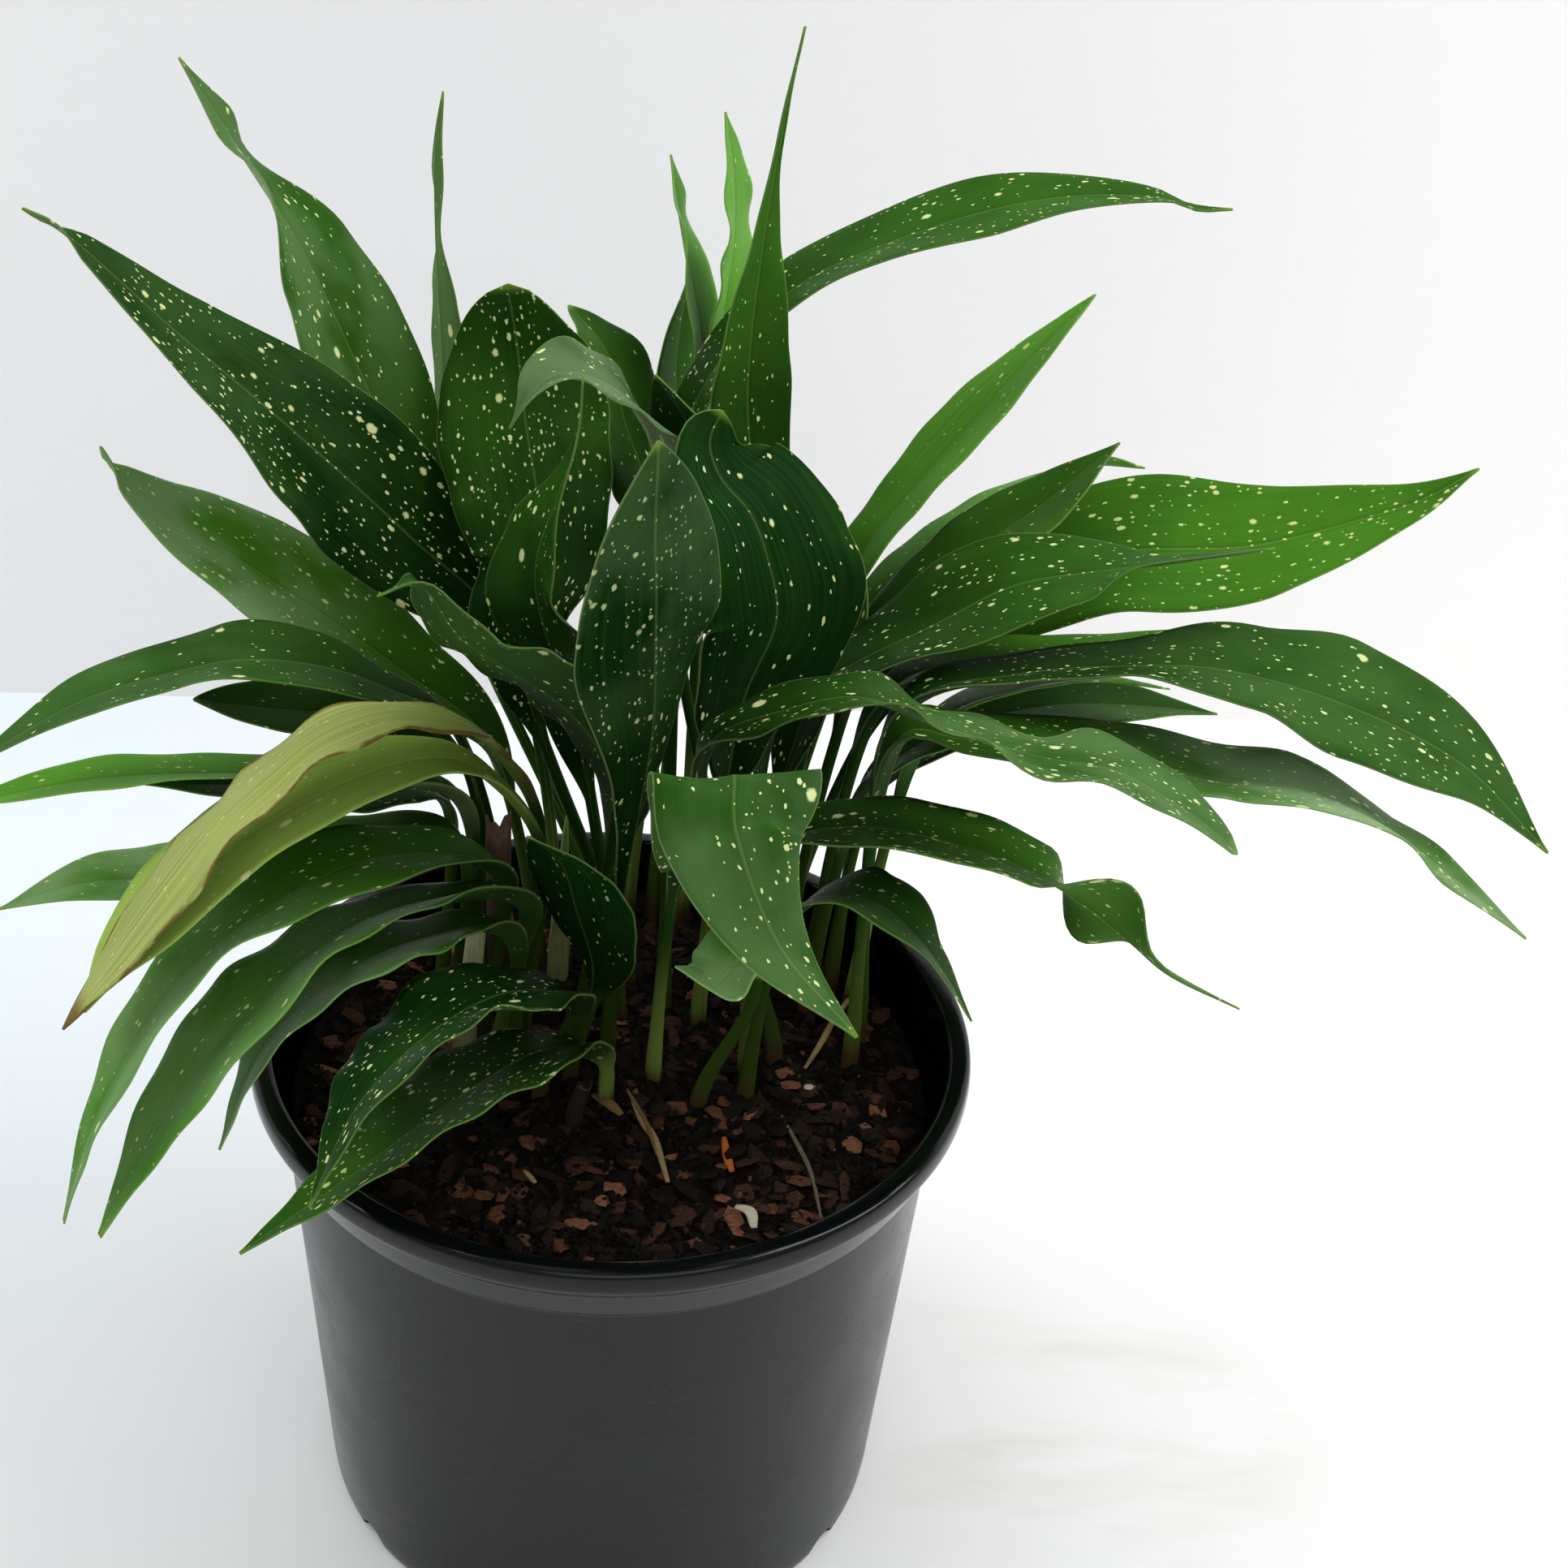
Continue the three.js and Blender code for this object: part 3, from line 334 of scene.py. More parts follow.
# Loose strips on the soil: path, half width and half thickness, tint
LITTER = [
    ([(47, -18, 139.8), (50.3, -27.5, 139.6), (54.2, -40, 138.8), (56.5, -58, 137.5)], (0.7, 0.4), 0.1),
    ([(31, -29, 140.6), (31.8, -36.5, 140.2), (33, -42, 139.6)], (1.3, 0.6), 0.3),
    ([(33.7, -54.8, 138.8), (37.4, -57.3, 139.4), (38.5, -62.3, 138)], (1.7, 0.4), 0.5),
    ([(6, -15.4, 141.4), (8.9, -24, 141.2), (12, -30.4, 140.8), (15.8, -47, 139.8)], (1.2, 0.5), 0.7),
    ([(4.3, -10.6, 141.6), (10, -25.6, 141.4), (13, -36.8, 140.4)], (0.8, 0.4), 0.9),
    ([(72.3, 41.3, 140.6), (64.8, 26, 141), (59.4, 13.6, 140), (54.7, 3.2, 139.6)], (1, 0.9), 0.7),
    ([(53.9, -5.9, 140), (57.1, -5.5, 139.8)], (1.2, 0.6), 0.5),
    ([(-22.7, -44, 140.2), (-19.3, -48.5, 139.8)], (1, 0.5), 0.7),
    ([(-5, -12.7, 141.2), (-0.6, -16.7, 141.4), (3, -21, 141)], (1.8, 0.4), 0.9),
]
STRIP_SIDES = 8
CURVE_THINNING = 5

# The room, in metres
ROOM_REACH = 6
WALL_Y = 0.436
WALL_SLANT = 0.017
LIGHT_TARGET = (0, 0, 0.15)
ROOM_LIGHT = 0.42
ROOM_TONE = (0.92, 0.96, 1.0, 1)
WORN_PATCH = (0.15, 0, 0)
FLOOR_WHITE = (246, 246, 245)
WINDOWS = {
    "right_window": ((1.1, 0.25, 1.5), (1.2, 1.2), 26),
    "left_window": ((-1.1, 0.2, 1.5), (1.2, 1.2), 15),
    "front_fill": ((0.3, -1.6, 1.4), (1.6, 1.2), 8),
}

# Screen colours of the leaves. The first three hold deep, bright, dull and pale.
GREENS = ((12, 45, 11), (93, 158, 40), (44, 88, 36), (140, 172, 84))
YELLOWS = ((126, 148, 58), (192, 194, 124), (130, 146, 64), (206, 204, 146))
LIMES = ((98, 136, 42), (172, 198, 98), (104, 142, 50), (186, 204, 130))
# The painted shade at the bases of dim leaves
SHADED_GREEN = (8, 26, 5)
UNDERSIDE_GREEN = (132, 154, 108)
# The pale tone of the painted sheen, a painted reflection
SHEEN_GREEN = (156, 176, 142)
SPECK_CREAM = (220, 226, 160)
MARGIN_GREEN = (176, 198, 128)
TIP_GREEN = (120, 148, 52)
OLD_GREEN = (118, 140, 56)
OLD_YELLOW = (208, 204, 152)
OLD_BROWN = (104, 70, 36)
STALK_GREENS = ((60, 78, 28), (124, 144, 66), (34, 66, 18))
STALK_BROWN = (74, 58, 34)
LEAF_DEPTH = (0.25, 0.6, 0.08)

# Screen colours of the loose bits, each for the tints above its share
BARK_BROWNS = [(0.35, (44, 29, 20)), (0.6, (70, 44, 31)), (0.82, (102, 64, 47)), (0.94, (140, 92, 70))]
CRUMB_BROWNS = [(0.6, (26, 19, 14)), (0.85, (44, 32, 24)), (0.98, (96, 76, 54))]
STRAW_BROWNS = [(0.2, (196, 104, 44)), (0.4, (206, 200, 176)), (0.6, (166, 140, 98)),
                (0.8, (128, 100, 66))]


# Meshes

def add_object(name, data):
    made = bpy.data.objects.new(name, data)
    bpy.context.scene.collection.objects.link(made)
    return made


def fill_mesh(name, points, faces, attributes=None, rounded=True):
    """A mesh object at the origin from vertices in millimetres, faces and vertex attributes."""
    mesh = bpy.data.meshes.new(name)
    mesh.from_pydata((np.asarray(points) * MM).tolist(), [], [list(face) for face in faces])
    for key, values in (attributes or {}).items():
        layer = mesh.attributes.new(key, "FLOAT", "POINT")
        layer.data.foreach_set("value", np.asarray(values, np.float32).ravel())
    mesh.polygons.foreach_set("use_smooth", np.full(len(mesh.polygons), rounded))
    mesh.update()
    return add_object(name, mesh)


def ring_faces(rings, corners):
    """Quads between neighbouring closed rings, where vertex j of ring i is number i * corners + j."""
    i, j = np.meshgrid(np.arange(rings - 1), np.arange(corners), indexing="ij")
    a = i * corners + j
    b = i * corners + (j + 1) % corners
    return np.stack([a, b, b + corners, a + corners], axis=-1).reshape(-1, 4)


def tube_faces(rings, corners, first=0):
    """Quads round a tube whose vertices start at number first, and a flat face over each end."""
    foot = first + np.arange(corners)
    end = foot + (rings - 1) * corners
    return [*(ring_faces(rings, corners) + first).tolist(), foot[::-1].tolist(), end.tolist()]


def smooth(t):
    """0 to 1 with level ends: 3t^2 - 2t^3."""
    return t * t * (3 - 2 * t)


def keyed(keys, share):
    """Runs smoothly through (share, value) keys and holds the end values outside them."""
    value = np.full_like(share, keys[0][1], dtype=float)
    for (start, low), (end, high) in zip(keys[:-1], keys[1:]):
        blend = smooth(np.clip((share - start) / (end - start), 0, 1))
        value = np.where(share >= start, low + (high - low) * blend, value)
    return value


def catmull_rom(points):
    """Centripetal Catmull-Rom curve through the points, CURVE_STEPS to a stretch."""
    points = np.asarray(points, float)
    ends = np.vstack([2 * points[0] - points[1], points, 2 * points[-1] - points[-2]])
    step = np.sqrt(np.linalg.norm(np.diff(ends, axis=0), axis=1))
    before, here, after, beyond = ends[:-3], ends[1:-2], ends[2:-1], ends[3:]
    d0, d1, d2 = step[:-2, None], step[1:-1, None], step[2:, None]
    leave = ((here - before) / d0 - (after - before) / (d0 + d1) + (after - here) / d1) * d1
    reach = ((after - here) / d1 - (beyond - here) / (d1 + d2) + (beyond - after) / d2) * d1
    t = (np.arange(CURVE_STEPS) / CURVE_STEPS)[None, :, None]
    here, after, leave, reach = (part[:, None, :] for part in (here, after, leave, reach))
    curve = (here + leave * t + (3 * (after - here) - 2 * leave - reach) * t ** 2
             + (2 * (here - after) + leave + reach) * t ** 3)
    return np.vstack([curve.reshape(-1, 3), points[-1:]])


def along_curve(curve, shares):
    """Places at shares of the curve's length, and the unit tangents there."""
    run = np.concatenate([[0], np.cumsum(np.linalg.norm(np.diff(curve, axis=0), axis=1))])
    run /= run[-1]

    def place(share):
        return np.stack([np.interp(np.clip(share, 0, 1), run, curve[:, k]) for k in range(3)], axis=1)

    reach = 1e-3
    tangent = place(shares + reach) - place(shares - reach)
    return place(shares), tangent / np.linalg.norm(tangent, axis=1, keepdims=True)


# Leaves

def leaf_mesh(name, leaf, seed):
    """A leaf with its stalk as one closed skin.

    Each station along the rib holds a ring of points: the upper face from the left edge to the
    right, then the lower face back. With s the share of the blade and w where it is widest, the
    half width rises as (3t^2 - 2t^3)^base, t = s/w, and falls as (t (2 - t))^tip,
    t = (1-s)/(1-w). Each half is tilted up into a shallow V, its edge waves as
    sin(2 pi (count s + lag)), and the stalk is a channelled half-round that swells near the soil
    as exp(-(height / rise)^2).
    """
    foot, route, neck = leaf["foot"], leaf["route"], leaf.get("neck", 0)
    points = [(*foot, HOLE_BOTTOM + GAP), (*foot, HOLE_BOTTOM + STALK_RISE), *route]
    curve = catmull_rom(points)
    run = np.concatenate([[0], np.cumsum(np.linalg.norm(np.diff(curve, axis=0), axis=1))])
    mouth, start = run[CURVE_STEPS] / run[-1], run[CURVE_STEPS * (neck + 2)] / run[-1]
    start += (mouth - start) * BLADE_DROP
    shares = np.concatenate([
        np.linspace(0, start, STALK_STATIONS, endpoint=False),
        start + (1 - start) * np.linspace(0, 1, BLADE_STATIONS),
    ])
    s = np.clip((shares - start) / (1 - start), 0, 1)[:, None]
    centre, tangent = along_curve(curve, shares)
    lean = math.radians(leaf["heading"])
    across = np.array([-math.sin(lean), math.cos(lean), 0.0])
    across = across - tangent * (tangent @ across)[:, None]
    across /= np.linalg.norm(across, axis=1, keepdims=True)
    up = np.cross(tangent, across)
    roll = np.radians(keyed(leaf["roll"], s[:, 0]))[:, None]
    across, up = across * np.cos(roll) + up * np.sin(roll), up * np.cos(roll) - across * np.sin(roll)

    widest = leaf.get("widest", WIDEST_AT)
    rise = np.minimum(s / widest, 1)
    fall = np.minimum((1 - s) / (1 - widest), 1)
    outline = smooth(rise) ** leaf.get("base", BASE_SLIM)
    outline = outline * (fall * (2 - fall)) ** leaf.get("tip", TIP_SLIM)
    height = centre[:, 2:] - SOIL_MIDDLE
    swell = SHEATH_SWELL * np.exp(-(np.maximum(height, 0) / SHEATH_RISE) ** 2)
    half = TIP_HALF + leaf["width"] / 2 * outline + (STALK_HALF - TIP_HALF) * (1 - s) ** 3 + swell
    channel = 1 - smooth(np.clip(s / CHANNEL_END, 0, 1))
    fold = leaf.get("fold", FOLD)
    tilt = np.radians(fold + (CHANNEL - fold) * channel)

    t = np.linspace(1, -1, COLUMNS)
    c = np.sign(t) * np.abs(t) ** CROWDING
    lag = np.where(c > 0, 0, WAVE_LAG)
    sway = 4 * s * (1 - s)
    wave = WAVE_HEIGHT * sway * np.sin(2 * np.pi * (WAVE_COUNT * s + lag)) * np.abs(c) ** 1.5
    ripple = leaf.get("ripple", RIPPLE_HEIGHT) * sway * np.abs(c) ** 4 * np.sin(
        2 * np.pi * (RIPPLE_COUNT * s + RIPPLE_LAG * lag + seed))
    lift = np.abs(c) * half * np.sin(tilt) + wave + ripple
    stalk = (1 - s) ** 3
    side = c * half
    rib = (1 - s) * np.exp(-(side / RIB_SPREAD) ** 2)
    crown = STALK_EDGE + (STALK_CROWN + swell) * (1 - np.abs(c) ** 3)
    belly = STALK_EDGE + (STALK_BELLY + swell) * np.sqrt(np.clip(1 - c ** 2, 0, 1))
    above = (1 - stalk) * (EDGE_HALF - RIB_GROOVE * rib) + stalk * crown
    below = (1 - stalk) * (EDGE_HALF + RIB_RIDGE * rib) + stalk * belly
    flat = side * np.cos(tilt)
    place = centre[:, None, :] + across[:, None, :] * flat[..., None]
    upper = place + up[:, None, :] * (lift + above)[..., None]
    lower = place + up[:, None, :] * (lift - below)[..., None]
    rings = np.concatenate([upper, lower[:, ::-1]], axis=1)

    count = 2 * COLUMNS
    faces = ring_faces(len(shares), count)
    j = np.arange(COLUMNS - 1)
    first_cap = np.stack([j, count - 1 - j, count - 2 - j, j + 1], axis=1)
    last_cap = first_cap[:, ::-1] + (len(shares) - 1) * count

    def both(values):
        values = np.broadcast_to(values, (len(shares), COLUMNS))
        return np.concatenate([values, values[:, ::-1]], axis=1)

    length = run[-1] * (shares - start)[:, None]
    under = np.concatenate([np.zeros(COLUMNS), np.ones(COLUMNS)])
    attributes = {
        "across": both(c),
        "along": both(s),
        "offset": both(side),
        "run": both(length),
        "rise": both(height),
        "edge": both((1 - np.abs(c)) * half),
        "under": np.broadcast_to(under, (len(shares), count)),
    }
    whole = {"backing": BACKING, "painted_sheen": 0, **leaf, "seed": seed}
    for key in ("light", "specks", "backing", "painted_sheen", "seed"):
        attributes[key] = np.full((len(shares), count), whole[key])
    return fill_mesh(name + "_skin", rings.reshape(-1, 3),
                     np.concatenate([faces, first_cap, last_cap]), attributes)


# Pot

def filleted(corners):
    """A profile of (radius, height, fillet) corners with each corner rounded by a quadratic arc."""
    points = []
    for k, (radius, height, fillet) in enumerate(corners):
        here = np.array([radius, height], float)
        if fillet == 0 or k in (0, len(corners) - 1):
            points.append(here)
            continue
        before = np.array(corners[k - 1][:2]) - here
        after = np.array(corners[k + 1][:2]) - here
        reach = min(fillet, np.linalg.norm(before) / 2, np.linalg.norm(after) / 2)
        start = here + before / np.linalg.norm(before) * reach
        end = here + after / np.linalg.norm(after) * reach
        t = np.linspace(0, 1, FILLET_STEPS)[:, None]
        points.extend(start * (1 - t) ** 2 + 2 * here * t * (1 - t) + end * t ** 2)
    return np.array(points)


def turned(profile, sides):
    """Rings of the profile turned about the Z axis: (r cos a, r sin a, z)."""
    angle = np.linspace(0, 2 * np.pi, sides, endpoint=False)
    radius, height = profile[:, :1], profile[:, 1:]
    return np.stack([radius * np.cos(angle), radius * np.sin(angle),
                     np.broadcast_to(height, (len(profile), sides))], axis=-1)


def closed_lathe(name, rings):
    """Closes rings into a skin whose first and last rings shrink to one point on the axis."""
    count = rings.shape[1]
    inner = rings[1:-1].reshape(-1, 3)
    low, high = rings[0, 0], rings[-1, 0]
    faces = ring_faces(len(rings) - 2, count).tolist()
    j = np.arange(count)
    turn = (j + 1) % count
    last = (len(rings) - 3) * count
    bottom, top = len(inner), len(inner) + 1
    faces += np.stack([turn, j, np.full(count, bottom)], axis=1).tolist()
    faces += np.stack([last + j, last + turn, np.full(count, top)], axis=1).tolist()
    return fill_mesh(name, np.vstack([inner, low, high]), faces)


def inner_radius(height):
    """The tapered body's radius at a height, less the wall."""
    share = (height - BASE_CORNER) / (BAND_BOTTOM - BASE_CORNER)
    return BASE_RADIUS + (NECK_RADIUS - BASE_RADIUS) * share - WALL


def pot_mesh():
    corners = [
        (0, 0, 0),
        (BASE_RADIUS - 1, 0, BASE_CORNER),
        (BASE_RADIUS, BASE_CORNER, 2),
        (NECK_RADIUS, BAND_BOTTOM - 1.5, 0.8),
        (NECK_RADIUS + 2.4, BAND_BOTTOM + 0.8, 1.2),
        (RIM_RADIUS - 4, BAND_TOP - 3, 0.6),
        (RIM_RADIUS - 2.9, BAND_TOP - 1.2, 0.5),
        (RIM_RADIUS - 0.4, RIM_WIDEST - 3, 1.5),
        (RIM_RADIUS, RIM_WIDEST, 1.5),
        (RIM_RADIUS - 0.5, POT_HEIGHT, 2.6),
        (LIP_RADIUS - 0.4, POT_HEIGHT, 1.6),
        (LIP_RADIUS - 0.9, POT_HEIGHT - 4, 2),
        (NECK_RADIUS + 1, BAND_BOTTOM + 3, 1.5),
        (inner_radius(BAND_BOTTOM - 2), BAND_BOTTOM - 2, 1.5),
        (inner_radius(BASE_CORNER + 1), BASE_CORNER + 1, 2),
        (BASE_RADIUS - BASE_CORNER + 1, FLOOR, 1),
        (0, FLOOR, 0),
    ]
    pot = closed_lathe("pot_body", turned(filleted(corners), POT_SIDES))
    cutter = slot_cutter()
    cut = pot.modifiers.new("slots", "BOOLEAN")
    cut.object = cutter
    cut.solver = "EXACT"
    view = bpy.context.evaluated_depsgraph_get()
    with_slots = bpy.data.meshes.new_from_object(pot.evaluated_get(view))
    pot.modifiers.clear()
    pot.data = with_slots
    bpy.data.objects.remove(cutter)
    return pot


def slot_cutter():
    """Ten round bars lying along radii at the base corner, which leave arched slots."""
    angle = np.linspace(0, 2 * np.pi, SLOT_SIDES, endpoint=False)
    radius = SLOT_WIDTH / 2
    points, faces = [], []
    for k in range(SLOTS):
        turn = 2 * math.pi * k / SLOTS
        out = np.array([math.cos(turn), math.sin(turn), 0])
        side = np.array([-math.sin(turn), math.cos(turn), 0])
        ring = (side * np.cos(angle)[:, None] + np.array([0, 0, 1]) * np.sin(angle)[:, None]) * radius
        ring[:, 2] += SLOT_HEIGHT - radius
        points += [ring + out * (BASE_RADIUS + end * SLOT_REACH / 2) for end in (-1, 1)]
        faces += tube_faces(2, SLOT_SIDES, k * 2 * SLOT_SIDES)
    return fill_mesh("slot_cutter", np.vstack(points), faces, rounded=False)


# Soil

def soil_height(x, y):
    """A low mound with lumps: edge + (middle - edge)(1 - reach^2) + lump (sin cos + sin)."""
    reach = np.hypot(x, y) / NECK_RADIUS
    lumps = np.sin(x / 9 + 1) * np.cos(y / 11) + np.sin((x + y) / 17)
    return SOIL_EDGE + (SOIL_MIDDLE - SOIL_EDGE) * (1 - reach ** 2) + SOIL_LUMP * lumps


def crumble(x, y):
    """Small heaps and hollows: a sum of sines of falling size in seeded directions."""
    draw = np.random.default_rng(11)
    height = np.zeros_like(x)
    for size in HEAP_SIZES:
        for _ in range(3):
            turn, phase = draw.uniform(0, 2 * np.pi, 2)
            wave = (x * math.cos(turn) + y * math.sin(turn)) * 2 * np.pi / size
            height += HEAP_SHARE * size * np.sin(wave + phase)
    return height


def soil_mesh():
    edge = inner_radius(SOIL_EDGE - 2) - GAP
    wall = [(0, FLOOR + GAP), (BASE_RADIUS - BASE_CORNER, FLOOR + GAP),
            (inner_radius(BASE_CORNER + 1) - GAP, BASE_CORNER + 1.6), (edge, SOIL_EDGE - 2)]
    top = [(edge * share, POT_HEIGHT) for share in np.linspace(1, 0, SOIL_RINGS)]
    rings = turned(np.array(wall + top), SOIL_SIDES)
    x, y = rings[len(wall):, :, 0], rings[len(wall):, :, 1]
    calm = np.clip((edge - np.hypot(x, y)) / WALL_CLEAR, 0, 1)
    rings[len(wall):, :, 2] = soil_height(x, y) + crumble(x, y) * calm
    return closed_lathe("soil_mound", rings)


def icosahedron():
    """Twelve corners at (0, 1, g) and its turns, g the golden ratio, and twenty faces."""
    g = (1 + 5 ** 0.5) / 2
    corners = np.array([(-1, g, 0), (1, g, 0), (-1, -g, 0), (1, -g, 0), (0, -1, g), (0, 1, g),
                        (0, -1, -g), (0, 1, -g), (g, 0, -1), (g, 0, 1), (-g, 0, -1), (-g, 0, 1)])
    faces = np.array([(0, 11, 5), (0, 5, 1), (0, 1, 7), (0, 7, 10), (0, 10, 11), (1, 5, 9), (5, 11, 4),
                      (11, 10, 2), (10, 7, 6), (7, 1, 8), (3, 9, 4), (3, 4, 2), (3, 2, 6), (3, 6, 8),
                      (3, 8, 9), (4, 9, 5), (2, 4, 11), (6, 2, 10), (8, 6, 7), (9, 8, 1)])
    return corners / np.linalg.norm(corners[0]), faces


def turned_about(axis, angle):
    """One rotation matrix about the X, Y or Z axis for each angle."""
    i, j = (axis + 1) % 3, (axis + 2) % 3
    made = np.zeros((len(angle), 3, 3))
    made[:, axis, axis] = 1
    made[:, i, i] = made[:, j, j] = np.cos(angle)
    made[:, i, j] = -np.sin(angle)
    made[:, j, i] = np.sin(angle)
    return made


def turns(count, tilt):
    """Rotation matrices about a random heading, leaning up to tilt radians."""
    yaw = rng.uniform(0, 2 * np.pi, count)
    lean = rng.uniform(-tilt, tilt, count)
    roll = rng.uniform(-tilt, tilt, count)
    return turned_about(2, yaw) @ turned_about(1, lean) @ turned_about(0, roll)


def bits_mesh(name, count, length, width, thickness, tilt, sink):
    """Many small broken bits on the soil: knobbly icosahedra of random sizes, kept off the stalks."""
    radius = (inner_radius(SOIL_EDGE) - WALL_CLEAR) * np.sqrt(rng.uniform(0, 1, count))
    angle = rng.uniform(0, 2 * np.pi, count)
    x, y = radius * np.cos(angle), radius * np.sin(angle)
    feet = np.array([grown["foot"] for grown in (*LEAVES.values(), *STEMS.values())])
    apart = np.hypot(x[:, None] - feet[:, 0], y[:, None] - feet[:, 1]).min(axis=1)
    clear = apart > STALK_CLEAR
    x, y = x[clear], y[clear]
    count = len(x)
    corners, faces = icosahedron()
    size = np.stack([rng.uniform(*reach, count) for reach in (length, width, thickness)], axis=1)
    shaped = corners[None] * size[:, None] / 2
    shaped = shaped * rng.uniform(*BIT_ROUGHNESS, shaped.shape[:2] + (1,))
    shaped = np.einsum("nij,nkj->nki", turns(count, tilt), shaped)
    place = np.stack([x, y, soil_height(x, y) + crumble(x, y) + sink * size[:, 2]], axis=1)
    points = (shaped + place[:, None]).reshape(-1, 3)
    all_faces = (faces[None] + len(corners) * np.arange(count)[:, None, None]).reshape(-1, 3)
    tint = np.repeat(rng.uniform(0, 1, count), len(corners))
    return fill_mesh(name, points, all_faces, {"tint": tint}, rounded=False)


def strip_mesh(name, strips):
    """Thin strips: an ellipse carried along each path, half as wide at both ends."""
    angle = np.linspace(0, 2 * np.pi, STRIP_SIDES, endpoint=False)
    points, faces, tints = [], [], []
    first = 0
    for path, (wide, thick), tint in strips:
        curve = catmull_rom(path)[::CURVE_THINNING]
        tangent = np.gradient(curve, axis=0)
        side = np.cross(tangent, [0, 0, 1.0])
        side /= np.linalg.norm(side, axis=1, keepdims=True)
        up = np.cross(side, tangent)
        up /= np.linalg.norm(up, axis=1, keepdims=True)
        share = np.linspace(0, 1, len(curve))[:, None]
        taper = 0.5 + 0.5 * np.sin(np.pi * share)
        ring = (side[:, None] * (wide * taper * np.cos(angle))[..., None]
                + up[:, None] * (thick * taper * np.sin(angle))[..., None])
        points.append((curve[:, None] + ring).reshape(-1, 3))
        faces += tube_faces(len(curve), STRIP_SIDES, first)
        tints.append(np.full(len(curve) * STRIP_SIDES, tint))
        first += len(curve) * STRIP_SIDES
    return fill_mesh(name, np.vstack(points), faces, {"tint": np.concatenate(tints)})


def stem_mesh(name, stem):
    """A leaning round stem that narrows or widens to its tip, with a ragged or plain hollow top."""
    x, y = stem["foot"]
    ragged = stem.get("ragged", 0)
    route = [(x, y, HOLE_BOTTOM + GAP), (x, y, SOIL_MIDDLE + 2), stem["top"]]
    curve = catmull_rom(route)[::CURVE_THINNING]
    share = np.linspace(0, 1, len(curve))[:, None]
    above = np.clip((curve[:, 2:] - SOIL_MIDDLE) / (stem["top"][2] - SOIL_MIDDLE), 0, 1)
    radius = stem["radius"] + (stem["tip"] - stem["radius"]) * above ** stem.get("taper", 1)
    radius = np.minimum(radius, np.where(above < STEM_FOOT_SHARE, STEM_FOOT, STEM_WIDEST))
    angle = np.linspace(0, 2 * np.pi, STEM_SIDES, endpoint=False)
    knobbly = 1 + STEM_KNOBS * np.sin(3 * angle + 4 * share)
    rings = np.stack([
        curve[:, :1] + radius * knobbly * np.cos(angle),
        curve[:, 1:2] + radius * knobbly * np.sin(angle),
        np.broadcast_to(curve[:, 2:], (len(curve), STEM_SIDES)),
    ], axis=-1)
    rings[-1, :, 2] += ragged * (np.sin(2 * angle + 1) + 0.5 * np.sin(7 * angle)) / 1.5
    inset = rings[-1].copy()
    inset[:, :2] = rings[-1, :, :2] * STEM_HOLLOW + curve[-1, :2] * (1 - STEM_HOLLOW)
    inset[:, 2] = curve[-1, 2] + (-0.2 - min(ragged, 3) if ragged else 0.2)
    points = np.concatenate([rings.reshape(-1, 3), inset])
    faces = tube_faces(len(curve) + 1, STEM_SIDES)
    return fill_mesh(name, points, faces, {"rise": points[:, 2] - SOIL_MIDDLE})


# Shader maths

class Value:
    """A shader socket in an expression, where each operator adds its Math node."""

    def __init__(self, finish, socket):
        self.finish = finish
        self.socket = socket

    def math(self, operation, *terms):
        return self.finish.node("ShaderNodeMath", {"operation": operation}, dict(enumerate(terms)))

    def __add__(self, other):
        return self.math("ADD", self, other)

    def __sub__(self, other):
        return self.math("SUBTRACT", self, other)

    def __rsub__(self, other):
        return self.math("SUBTRACT", other, self)

    def __mul__(self, other):
        return self.math("MULTIPLY", self, other)

    def __truediv__(self, other):
        return self.math("DIVIDE", self, other)

    def __pow__(self, other):
        return self.math("POWER", self, other)

    def __abs__(self):
        return self.math("ABSOLUTE", self)

    def __lt__(self, other):
        return self.math("LESS_THAN", self, other)

    def __gt__(self, other):
        return self.math("GREATER_THAN", self, other)

    def sine(self):
        return self.math("SINE", self)

    def most(self, other):
        return self.math("MAXIMUM", self, other)


